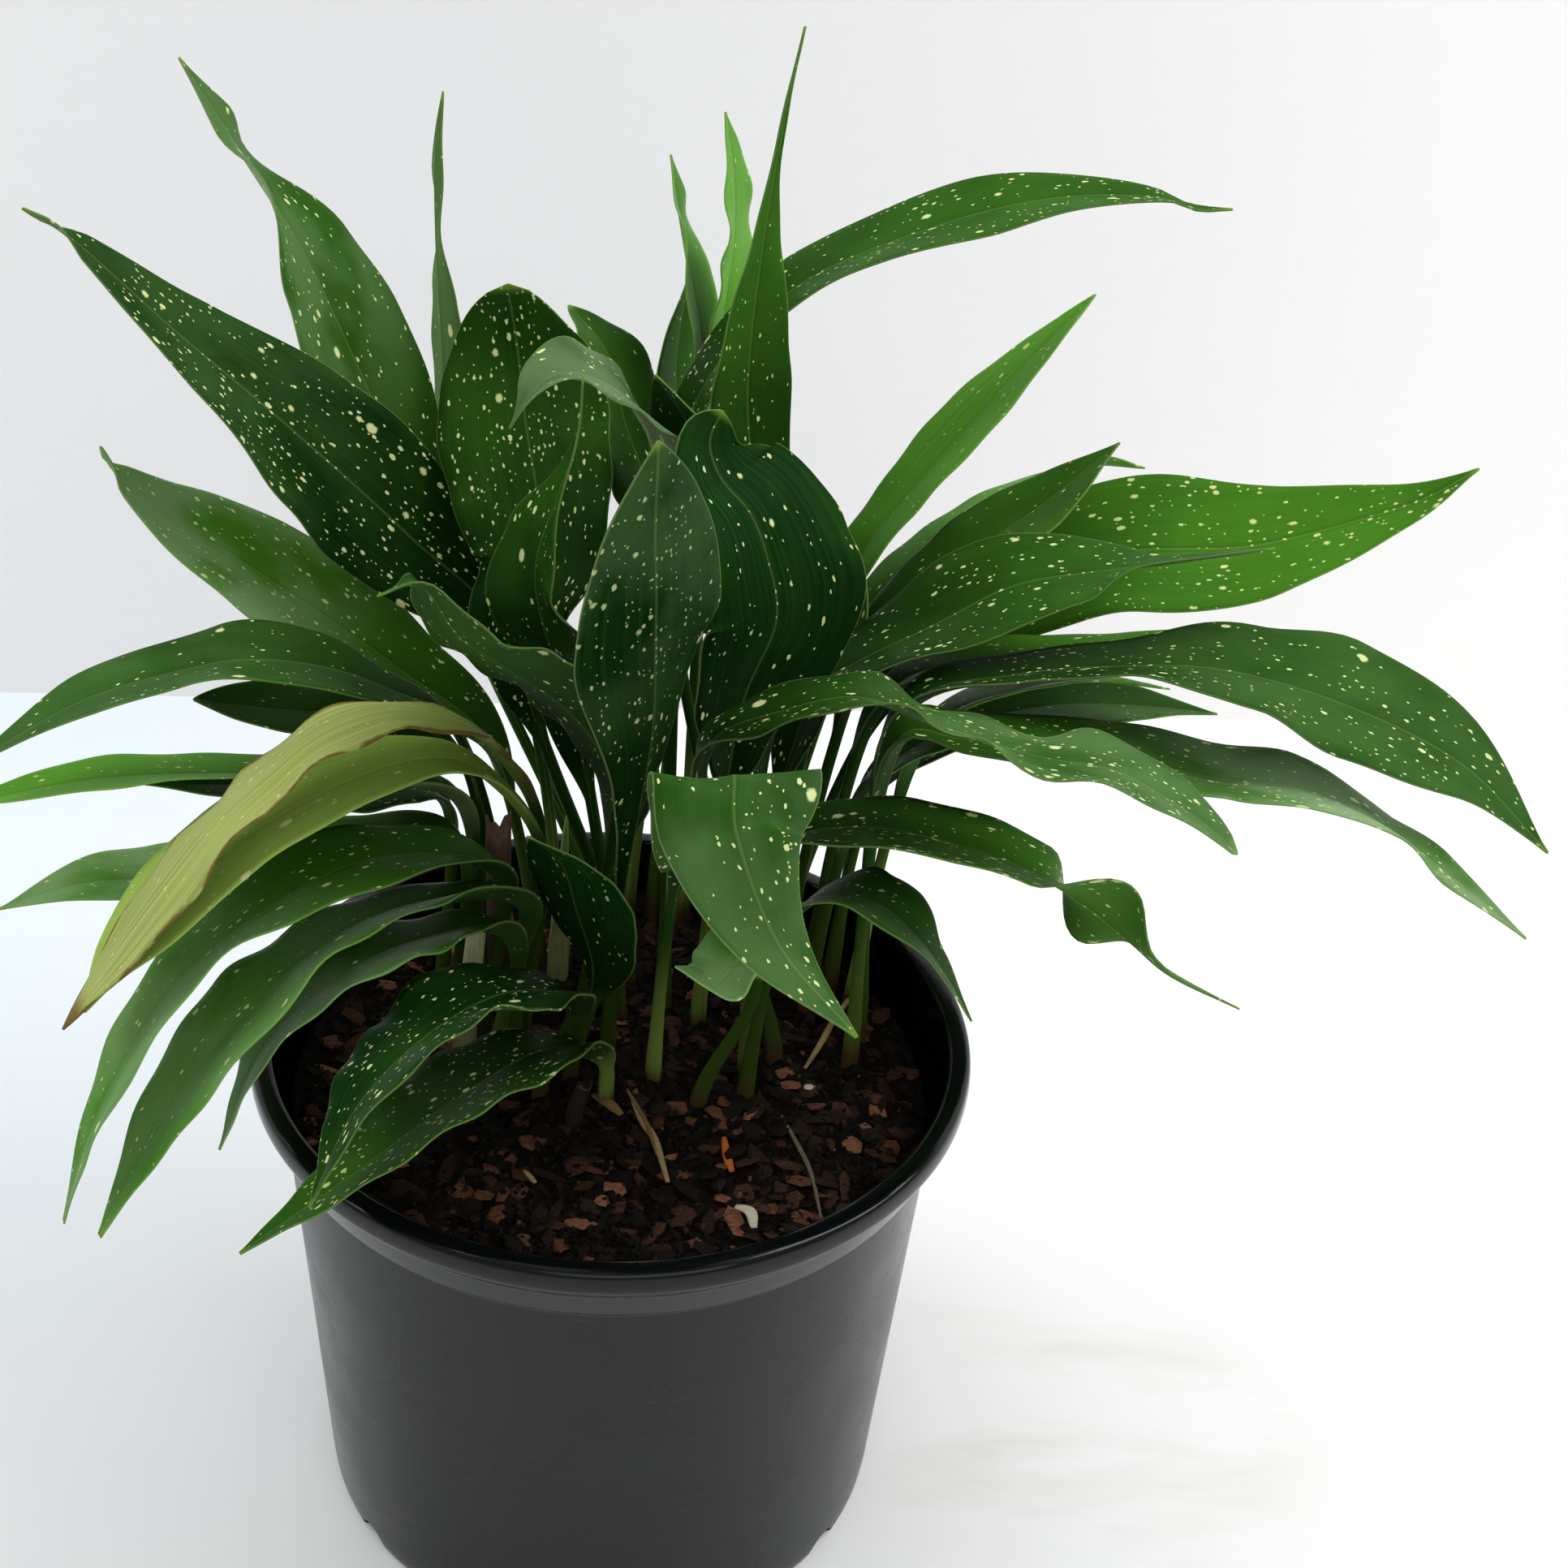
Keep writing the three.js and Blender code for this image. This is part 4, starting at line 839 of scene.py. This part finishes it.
class Finish:
    """One procedural material: its Principled shader, and the nodes that feed it."""

    def __init__(self, name, **constants):
        self.material = bpy.data.materials.new(name)
        self.material.use_nodes = True
        self.nodes = self.material.node_tree.nodes
        self.links = self.material.node_tree.links
        self.shader = self.nodes["Principled BSDF"]
        for socket, value in constants.items():
            self.shader.inputs[socket.replace("_", " ")].default_value = value

    def node(self, kind, settings=None, inputs=None, output=0):
        """Adds a node, sets its settings, then the values or links of its sockets."""
        made = self.nodes.new(kind)
        for key, value in (settings or {}).items():
            setattr(made, key, value)
        for key, value in (inputs or {}).items():
            if isinstance(value, Value):
                self.links.new(value.socket, made.inputs[key])
            else:
                made.inputs[key].default_value = value
        return Value(self, made.outputs[output])

    def feed(self, **sockets):
        for key, value in sockets.items():
            self.links.new(value.socket, self.shader.inputs[key.replace("_", " ")])

    def attribute(self, name):
        return self.node("ShaderNodeAttribute", {"attribute_name": name}, output="Fac")

    def place(self):
        return self.node("ShaderNodeTexCoord", output="Object")

    def part(self, vector, axis):
        return self.node("ShaderNodeSeparateXYZ", inputs={0: vector}, output=axis)

    def grid(self, x, y):
        return self.node("ShaderNodeCombineXYZ", inputs={0: x, 1: y})

    def stretched(self, vector, scale):
        return self.node("ShaderNodeVectorMath", {"operation": "MULTIPLY"}, {0: vector, 1: scale})

    def noise(self, vector, scale, detail=2.0, roughness=0.5):
        return self.node("ShaderNodeTexNoise", inputs={
            "Vector": vector, "Scale": scale, "Detail": detail, "Roughness": roughness})

    def cells(self, vector, scale, output="Distance", dimensions="3D"):
        return self.node("ShaderNodeTexVoronoi", {"voronoi_dimensions": dimensions},
                         {"Vector": vector, "Scale": scale}, output)

    def split(self, colour, channel):
        return self.node("ShaderNodeSeparateColor", inputs={0: colour}, output=channel)

    def ramp(self, value, low, high, start=0.0, end=1.0):
        """start below low, end above high, and a smooth step between."""
        return self.node("ShaderNodeMapRange", {"interpolation_type": "SMOOTHSTEP"},
                         {0: value, 1: low, 2: high, 3: start, 4: end})

    def mix(self, factor, *tones):
        """Between two tones, each a socket or a screen colour of 0 to 255."""
        first, second = (tone if isinstance(tone, Value) else linear_colour(tone) for tone in tones)
        return self.node("ShaderNodeMix", {"data_type": "RGBA"},
                         {0: factor, 6: first, 7: second}, output=2)

    def bump(self, height, distance, strength):
        return self.node("ShaderNodeBump", inputs={
            "Strength": strength, "Distance": distance, "Height": height}, output="Normal")


def linear_colour(tone):
    """A screen colour of 0 to 255 as the shader's linear red, green, blue and alpha."""
    shares = [channel / 255 for channel in tone]
    return (*(v / 12.92 if v <= 0.04045 else ((v + 0.055) / 1.055) ** 2.4 for v in shares), 1.0)


# Finishes

def specks(finish, across, run, wide, tall, share, least, most):
    """Oval spots in cells of the blade's own grid: a share of the cells hold one, sized by draw."""
    grid = finish.grid(across / wide, run / tall)
    distance = finish.cells(grid, 1.0, dimensions="2D")
    draw = finish.cells(grid, 1.0, output="Color", dimensions="2D")
    radius = finish.split(draw, "Green") ** 3 * (most - least) + least
    return finish.ramp(radius - distance, -0.02, 0.03) * (finish.split(draw, "Red") < share)


def leaf_finish(name, greens, aged=False):
    """Greens by the leaf's light with painted shade at the base and a painted sheen, veins, cream
    specks, a pale margin, a lime tip and a stalk.
    """
    finish = Finish(name, Roughness=0.4, IOR=1.4, Specular_IOR_Level=0.014, Subsurface_Weight=0.5,
                    Subsurface_Radius=LEAF_DEPTH, Subsurface_Scale=MM)
    across = finish.attribute("across")
    along = finish.attribute("along")
    offset = finish.attribute("offset")
    run = finish.attribute("run")
    shifted = run + finish.attribute("seed") * 1000
    edge = finish.attribute("edge")
    under = finish.ramp(finish.attribute("under"), 0.45, 0.55)
    streaks = finish.noise(finish.grid(across * 30, shifted / 70), 1.0, 3.0)
    patches = finish.noise(finish.grid(offset / 22, shifted / 34), 1.0, 3.0)
    pleats = (abs(across) ** 0.9 * 34).sine() * 0.5 + 0.5
    on_blade = finish.ramp(along, 0.01, 0.12)

    deep, bright, dull, pale = greens
    # Painted light and shade: each leaf's light, partly its own tone and partly painted light for how
    # lit it is, is painted darker toward the stalk, and dim leaves fade to SHADED_GREEN at the base as
    # painted shade.
    light = finish.attribute("light")
    tone_and_painted_light = light * finish.ramp(along, 0.05, 0.7, 0.35, 1.15)
    shaded = finish.ramp(along, 0.15, 0.75, 0.7, 0.0) * (1 - light)
    green = finish.mix(tone_and_painted_light + (patches - 0.5) * 0.35, deep, bright)
    green = finish.mix(finish.ramp(streaks, 0.4, 0.75) * 0.3, green, dull)
    green = finish.mix(shaded, green, SHADED_GREEN)
    green = finish.mix(pleats ** 6 * 0.008, green, pale)
    rib = finish.ramp(abs(offset), 0.15, 0.6, 1.0, 0.0)
    beside = finish.ramp(abs(offset), 0.5, 1.6, 1.0, 0.0) - rib
    green = finish.mix(beside * 0.2, green, deep)
    green = finish.mix(rib * 0.14, green, pale)
    tone = finish.mix(under * finish.attribute("backing") * 0.6, green, UNDERSIDE_GREEN)
    # Painted sheen: a pale reflection painted in patches on the outer half of the blade, as much as each
    # leaf's share of it.
    sheen_patches = finish.ramp(patches, 0.3, 0.6) * finish.ramp(along, 0.35, 0.7)
    tone = finish.mix(finish.attribute("painted_sheen") * sheen_patches, tone, SHEEN_GREEN)

    ragged = finish.noise(finish.grid(offset, shifted), 1.2, 2.0) - 0.5
    speck_across = offset + ragged * 0.9
    crowds = finish.noise(finish.grid(offset / 9, shifted / 16), 1.0, 1.0)
    share = finish.attribute("specks") * finish.ramp(crowds, 0.3, 0.65, 0.25, 1.0)
    rough_run = shifted + ragged
    fine = specks(finish, speck_across, shifted, 1.6, 3.0, share * 0.5, 0.1, 0.28)
    middle = specks(finish, speck_across + 40, rough_run, 3.2, 5.6, share * 0.42, 0.08, 0.23)
    large = specks(finish, speck_across + 90, rough_run, 12.0, 16.0, share * 0.5, 0.06, 0.12)
    spotted = fine.most(middle).most(large) * on_blade * finish.ramp(under, 0.0, 1.0, 1.0, 0.75)
    tone = finish.mix(spotted * 0.85, tone, SPECK_CREAM)
    margin = finish.ramp(edge, 0.08, 0.28, 1.0, 0.0) * on_blade
    tone = finish.mix(margin * 0.2, tone, MARGIN_GREEN)
    tone = finish.mix(finish.ramp(along, 0.975, 1.0) * 0.6, tone, TIP_GREEN)
    if aged:
        torn = finish.noise(finish.grid(offset / 5, shifted / 9), 1.0, 4.0)
        tone = finish.mix(finish.ramp(streaks, 0.45, 0.62) * 0.5, tone, OLD_GREEN)
        tone = finish.mix(finish.ramp(streaks, 0.42, 0.3) * 0.5, tone, OLD_YELLOW)
        brown = finish.ramp(edge + torn * 5, 2.4, 3.6, 1.0, 0.0)
        brown = brown.most(finish.ramp(along + torn * 0.05, 0.96, 1.0))
        tone = finish.mix(brown * on_blade * 0.85, tone, OLD_BROWN)

    rise = finish.attribute("rise") + (streaks - 0.5) * 12
    fresh = finish.ramp(finish.attribute("seed"), 0.55, 0.95)
    dull_foot, fresh_foot, stalk_green = STALK_GREENS
    stalk = finish.mix(fresh, dull_foot, fresh_foot)
    stalk = finish.mix(finish.ramp(rise, 12.0, 60.0), stalk, stalk_green)
    stalk = finish.mix(finish.ramp(rise, 0.0, 9.0, 1.0, 0.0), stalk, STALK_BROWN)
    height = pleats * 0.012 - rib * 0.8
    finish.feed(
        Base_Color=finish.mix(on_blade, stalk, tone),
        Roughness=finish.ramp(streaks + under * 0.5, 0.3, 1.2, 0.3, 0.6),
        Normal=finish.bump(height, 0.0003, 0.5),
    )
    return finish.material


def pot_finish():
    """Black plastic, a little dusty in clouds and low down, with faint scuffs round the wall."""
    finish = Finish("charcoal_plastic", IOR=1.5, Specular_IOR_Level=0.26)
    place = finish.place()
    grain = finish.noise(place, 1100.0, 2.0)
    cloud = finish.noise(place, 22.0, 5.0, 0.62)
    scuffs = finish.noise(finish.stretched(place, (60.0, 60.0, 700.0)), 1.0, 3.0, 0.6)
    height = finish.part(place, "Z")
    low = finish.ramp(height, 0.0, 0.06, 1.0, 0.0)
    dust = finish.ramp(cloud + low * 0.12, 0.52, 0.8)
    tone = finish.mix(dust * 0.3, (7, 8, 10), (38, 41, 45))
    smooth_rim = finish.ramp(height, 0.134, 0.138, 1.0, 0.55)
    finish.feed(
        Base_Color=finish.mix(finish.ramp(scuffs, 0.66, 0.8) * 0.2, tone, (86, 88, 90)),
        Roughness=finish.ramp(cloud + scuffs * 0.3, 0.4, 0.95, 0.2, 0.36) * smooth_rim,
        Normal=finish.bump(grain * 0.4 + cloud, 0.0002, 0.25),
    )
    return finish.material


def soil_finish():
    finish = Finish("potting_mix", Roughness=0.95, Specular_IOR_Level=0.1)
    place = finish.place()
    crumbs = finish.cells(place, 420.0)
    shade = finish.split(finish.cells(place, 420.0, output="Color"), "Red")
    damp = finish.noise(place, 45.0, 4.0)
    tone = finish.mix(shade, (14, 11, 8), (40, 31, 22))
    tone = finish.mix(finish.ramp(damp, 0.4, 0.65) * 0.7, tone, (10, 8, 5))
    finish.feed(Base_Color=tone, Normal=finish.bump(crumbs + damp, 0.0016, 0.9))
    return finish.material


def bits_finish(name, first, steps, roughness, grime=0.6):
    """Each bit takes its colour from its own tint, by the steps, with streaks of grain and grime."""
    finish = Finish(name, Roughness=roughness, Specular_IOR_Level=0.15)
    grain = finish.noise(finish.stretched(finish.place(), (1.0, 3.0, 2.0)), 500.0, 3.0)
    tint = finish.attribute("tint")
    tone = finish.mix(grain, (12, 9, 6), first)
    for share, shade in steps:
        tone = finish.mix(tint > share, tone, shade)
    tone = finish.mix(finish.ramp(grain, 0.4, 0.75) * grime, tone, (14, 10, 7))
    finish.feed(Base_Color=tone, Normal=finish.bump(grain, 0.0006, 0.7))
    return finish.material


def stem_finish(name, low, high, streak):
    finish = Finish(name, Roughness=0.6)
    fibre = finish.noise(finish.stretched(finish.place(), (700.0, 700.0, 40.0)), 1.0, 3.0)
    tone = finish.mix(finish.ramp(finish.attribute("rise"), 5.0, 50.0), low, high)
    tone = finish.mix(finish.ramp(fibre, 0.4, 0.7) * 0.6, tone, streak)
    finish.feed(Base_Color=tone, Normal=finish.bump(fibre, 0.0005, 0.6))
    return finish.material


def floor_finish():
    """White, with painted shade that makes it cooler to the left, and one faint worn patch beside the
    pot.
    """
    finish = Finish("pale_floor", Roughness=0.7)
    place = finish.place()
    worn = finish.noise(finish.stretched(place, (6.0, 22.0, 1.0)), 1.0, 4.0, 0.6)
    near = finish.node("ShaderNodeVectorMath", {"operation": "DISTANCE"},
                       {0: place, 1: WORN_PATCH}, output="Value")
    mark = finish.ramp(worn, 0.45, 0.7) * finish.ramp(near, 0.03, 0.09, 1.0, 0.0)
    leftward = finish.ramp(finish.part(place, "X"), -0.3, 0.1, 1.0, 0.0)
    # Painted shade: the floor darker and bluer to the left and further back, away from the light.
    painted_left_shade = leftward * finish.ramp(finish.part(place, "Y"), -0.15, 0.2)
    tone = finish.mix(painted_left_shade, FLOOR_WHITE, (228, 236, 241))
    finish.feed(Base_Color=finish.mix(mark * 0.3, tone, (204, 190, 160)))
    return finish.material


def wall_finish():
    """White, with a painted warm glow that grows brighter to the right, and open from behind so that it
    hides nothing there.
    """
    # Painted light: the wall glows faintly though it is no lamp, warmer and brighter to the right.
    finish = Finish("pale_wall", Roughness=0.9, Emission_Strength=0.12)
    place = finish.place()
    soft = finish.noise(place, 2.0, 2.0)
    painted_wall_glow = finish.ramp(finish.part(place, "X"), -0.05, 0.4)
    finish.feed(
        Base_Color=finish.mix(soft, FLOOR_WHITE, (236, 236, 238)),
        Emission_Color=finish.mix(painted_wall_glow, (186, 168, 158), (255, 240, 226)),
        Alpha=1 - finish.node("ShaderNodeNewGeometry", output="Backfacing"),
    )
    return finish.material


# Putting the plant together

def keep(piece, material, slot, *nodes):
    piece.data.materials.clear()
    piece.data.materials.append(material)
    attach(piece, BODY)
    if nodes:
        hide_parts(*nodes)


def make_plant():
    keep(pot_mesh(), pot_finish(), "pot_plastic", "pot")
    keep(soil_mesh(), soil_finish(), "soil", "soil")
    chips = bits_mesh("bark_chips", CHIPS, (5, 13), (3, 8), (1, 2.6), 0.45, 0.05)
    keep(chips, bits_finish("bark", (30, 21, 15), BARK_BROWNS, 0.8), "soil")
    crumbs = bits_mesh("soil_crumbs", CRUMBS, (1.2, 3.4), (1, 2.6), (0.8, 2), 1.0, 0.3)
    keep(crumbs, bits_finish("crumb", (14, 11, 8), CRUMB_BROWNS, 0.95), "soil")
    straw = bits_finish("straw", (150, 138, 112), STRAW_BROWNS, 0.7, 0.2)
    keep(strip_mesh("litter", LITTER), straw, "soil")

    green = leaf_finish("green_leaf", GREENS)
    old = {
        "leaf_yellowing_1": leaf_finish("yellow_leaf", YELLOWS, aged=True),
        "leaf_yellowing_2": leaf_finish("lime_leaf", LIMES),
    }
    for number, (name, leaf) in enumerate(LEAVES.items()):
        slot = "yellow_leaf" if name in old else "leaf"
        keep(leaf_mesh(name, leaf, number * SEED_STEP % 1), old.get(name, green), slot, name)

    finishes = {
        "young_leaf": stem_finish("young_leaf", (150, 150, 96), (104, 142, 62), (84, 120, 52)),
        "dry_stalk": stem_finish("dry_sheath", (40, 27, 18), (86, 60, 40), (52, 34, 22)),
        "pale_stalk": stem_finish("pale_stalk", (150, 146, 100), (196, 198, 150), (150, 152, 104)),
    }
    for name, stem in STEMS.items():
        keep(stem_mesh(name + "_skin", stem), finishes[stem["slot"]], stem["slot"], name)


def plane(name, corners, material):
    mesh = bpy.data.meshes.new(name)
    mesh.from_pydata(corners, [], [(0, 1, 2, 3)])
    mesh.materials.append(material)
    add_object(name, mesh)


def make_stage():
    far = ROOM_REACH
    left, right = WALL_Y - far * WALL_SLANT, WALL_Y + far * WALL_SLANT
    plane("floor", [(-far, -far, 0), (far, -far, 0), (far, far, 0), (-far, far, 0)],
          floor_finish())
    plane("wall", [(-far, left, 0), (far, right, 0), (far, right, far), (-far, left, far)],
          wall_finish())


def area_light(name, place, size, power):
    light = bpy.data.lights.new(name, "AREA")
    light.shape = "RECTANGLE"
    light.size, light.size_y = size
    light.energy = power
    lamp = add_object(name, light)
    lamp.location = place
    aim = Vector(LIGHT_TARGET) - Vector(place)
    lamp.rotation_euler = aim.to_track_quat("-Z", "Y").to_euler()


def make_light():
    """A dim room, and soft windows: behind to the right and left, and a weak one in front."""
    world = bpy.data.worlds.new("soft_room")
    world.use_nodes = True
    background = world.node_tree.nodes["Background"]
    background.inputs["Color"].default_value = ROOM_TONE
    background.inputs["Strength"].default_value = ROOM_LIGHT
    bpy.context.scene.world = world
    bpy.context.scene.view_settings.view_transform = "Standard"
    for name, (place, size, power) in WINDOWS.items():
        area_light(name, place, size, power)


def make_camera():
    """Looks CAMERA_TURN from +Y and CAMERA_TILT down, rolled, as worked out from the pot's rim."""
    forward = Vector((
        math.sin(CAMERA_TURN) * math.cos(CAMERA_TILT),
        math.cos(CAMERA_TURN) * math.cos(CAMERA_TILT),
        -math.sin(CAMERA_TILT),
    ))
    level = Vector((math.cos(CAMERA_TURN), -math.sin(CAMERA_TURN), 0))
    upright = level.cross(forward)
    right = level * math.cos(CAMERA_ROLL) + upright * math.sin(CAMERA_ROLL)
    up = upright * math.cos(CAMERA_ROLL) - level * math.sin(CAMERA_ROLL)
    data = bpy.data.cameras.new("camera")
    data.sensor_width = SENSOR
    data.lens = FOCAL_PIXELS / PHOTO_SIZE * SENSOR
    data.shift_x = (PHOTO_SIZE / 2 - AXIS_PIXEL_X) / PHOTO_SIZE
    camera = add_object("camera", data)
    turn = Matrix((right, up, -forward)).transposed().to_4x4()
    camera.matrix_world = Matrix.Translation(CAMERA_PLACE) @ turn
    bpy.context.scene.camera = camera


make_plant()
make_stage()
make_light()
make_camera()
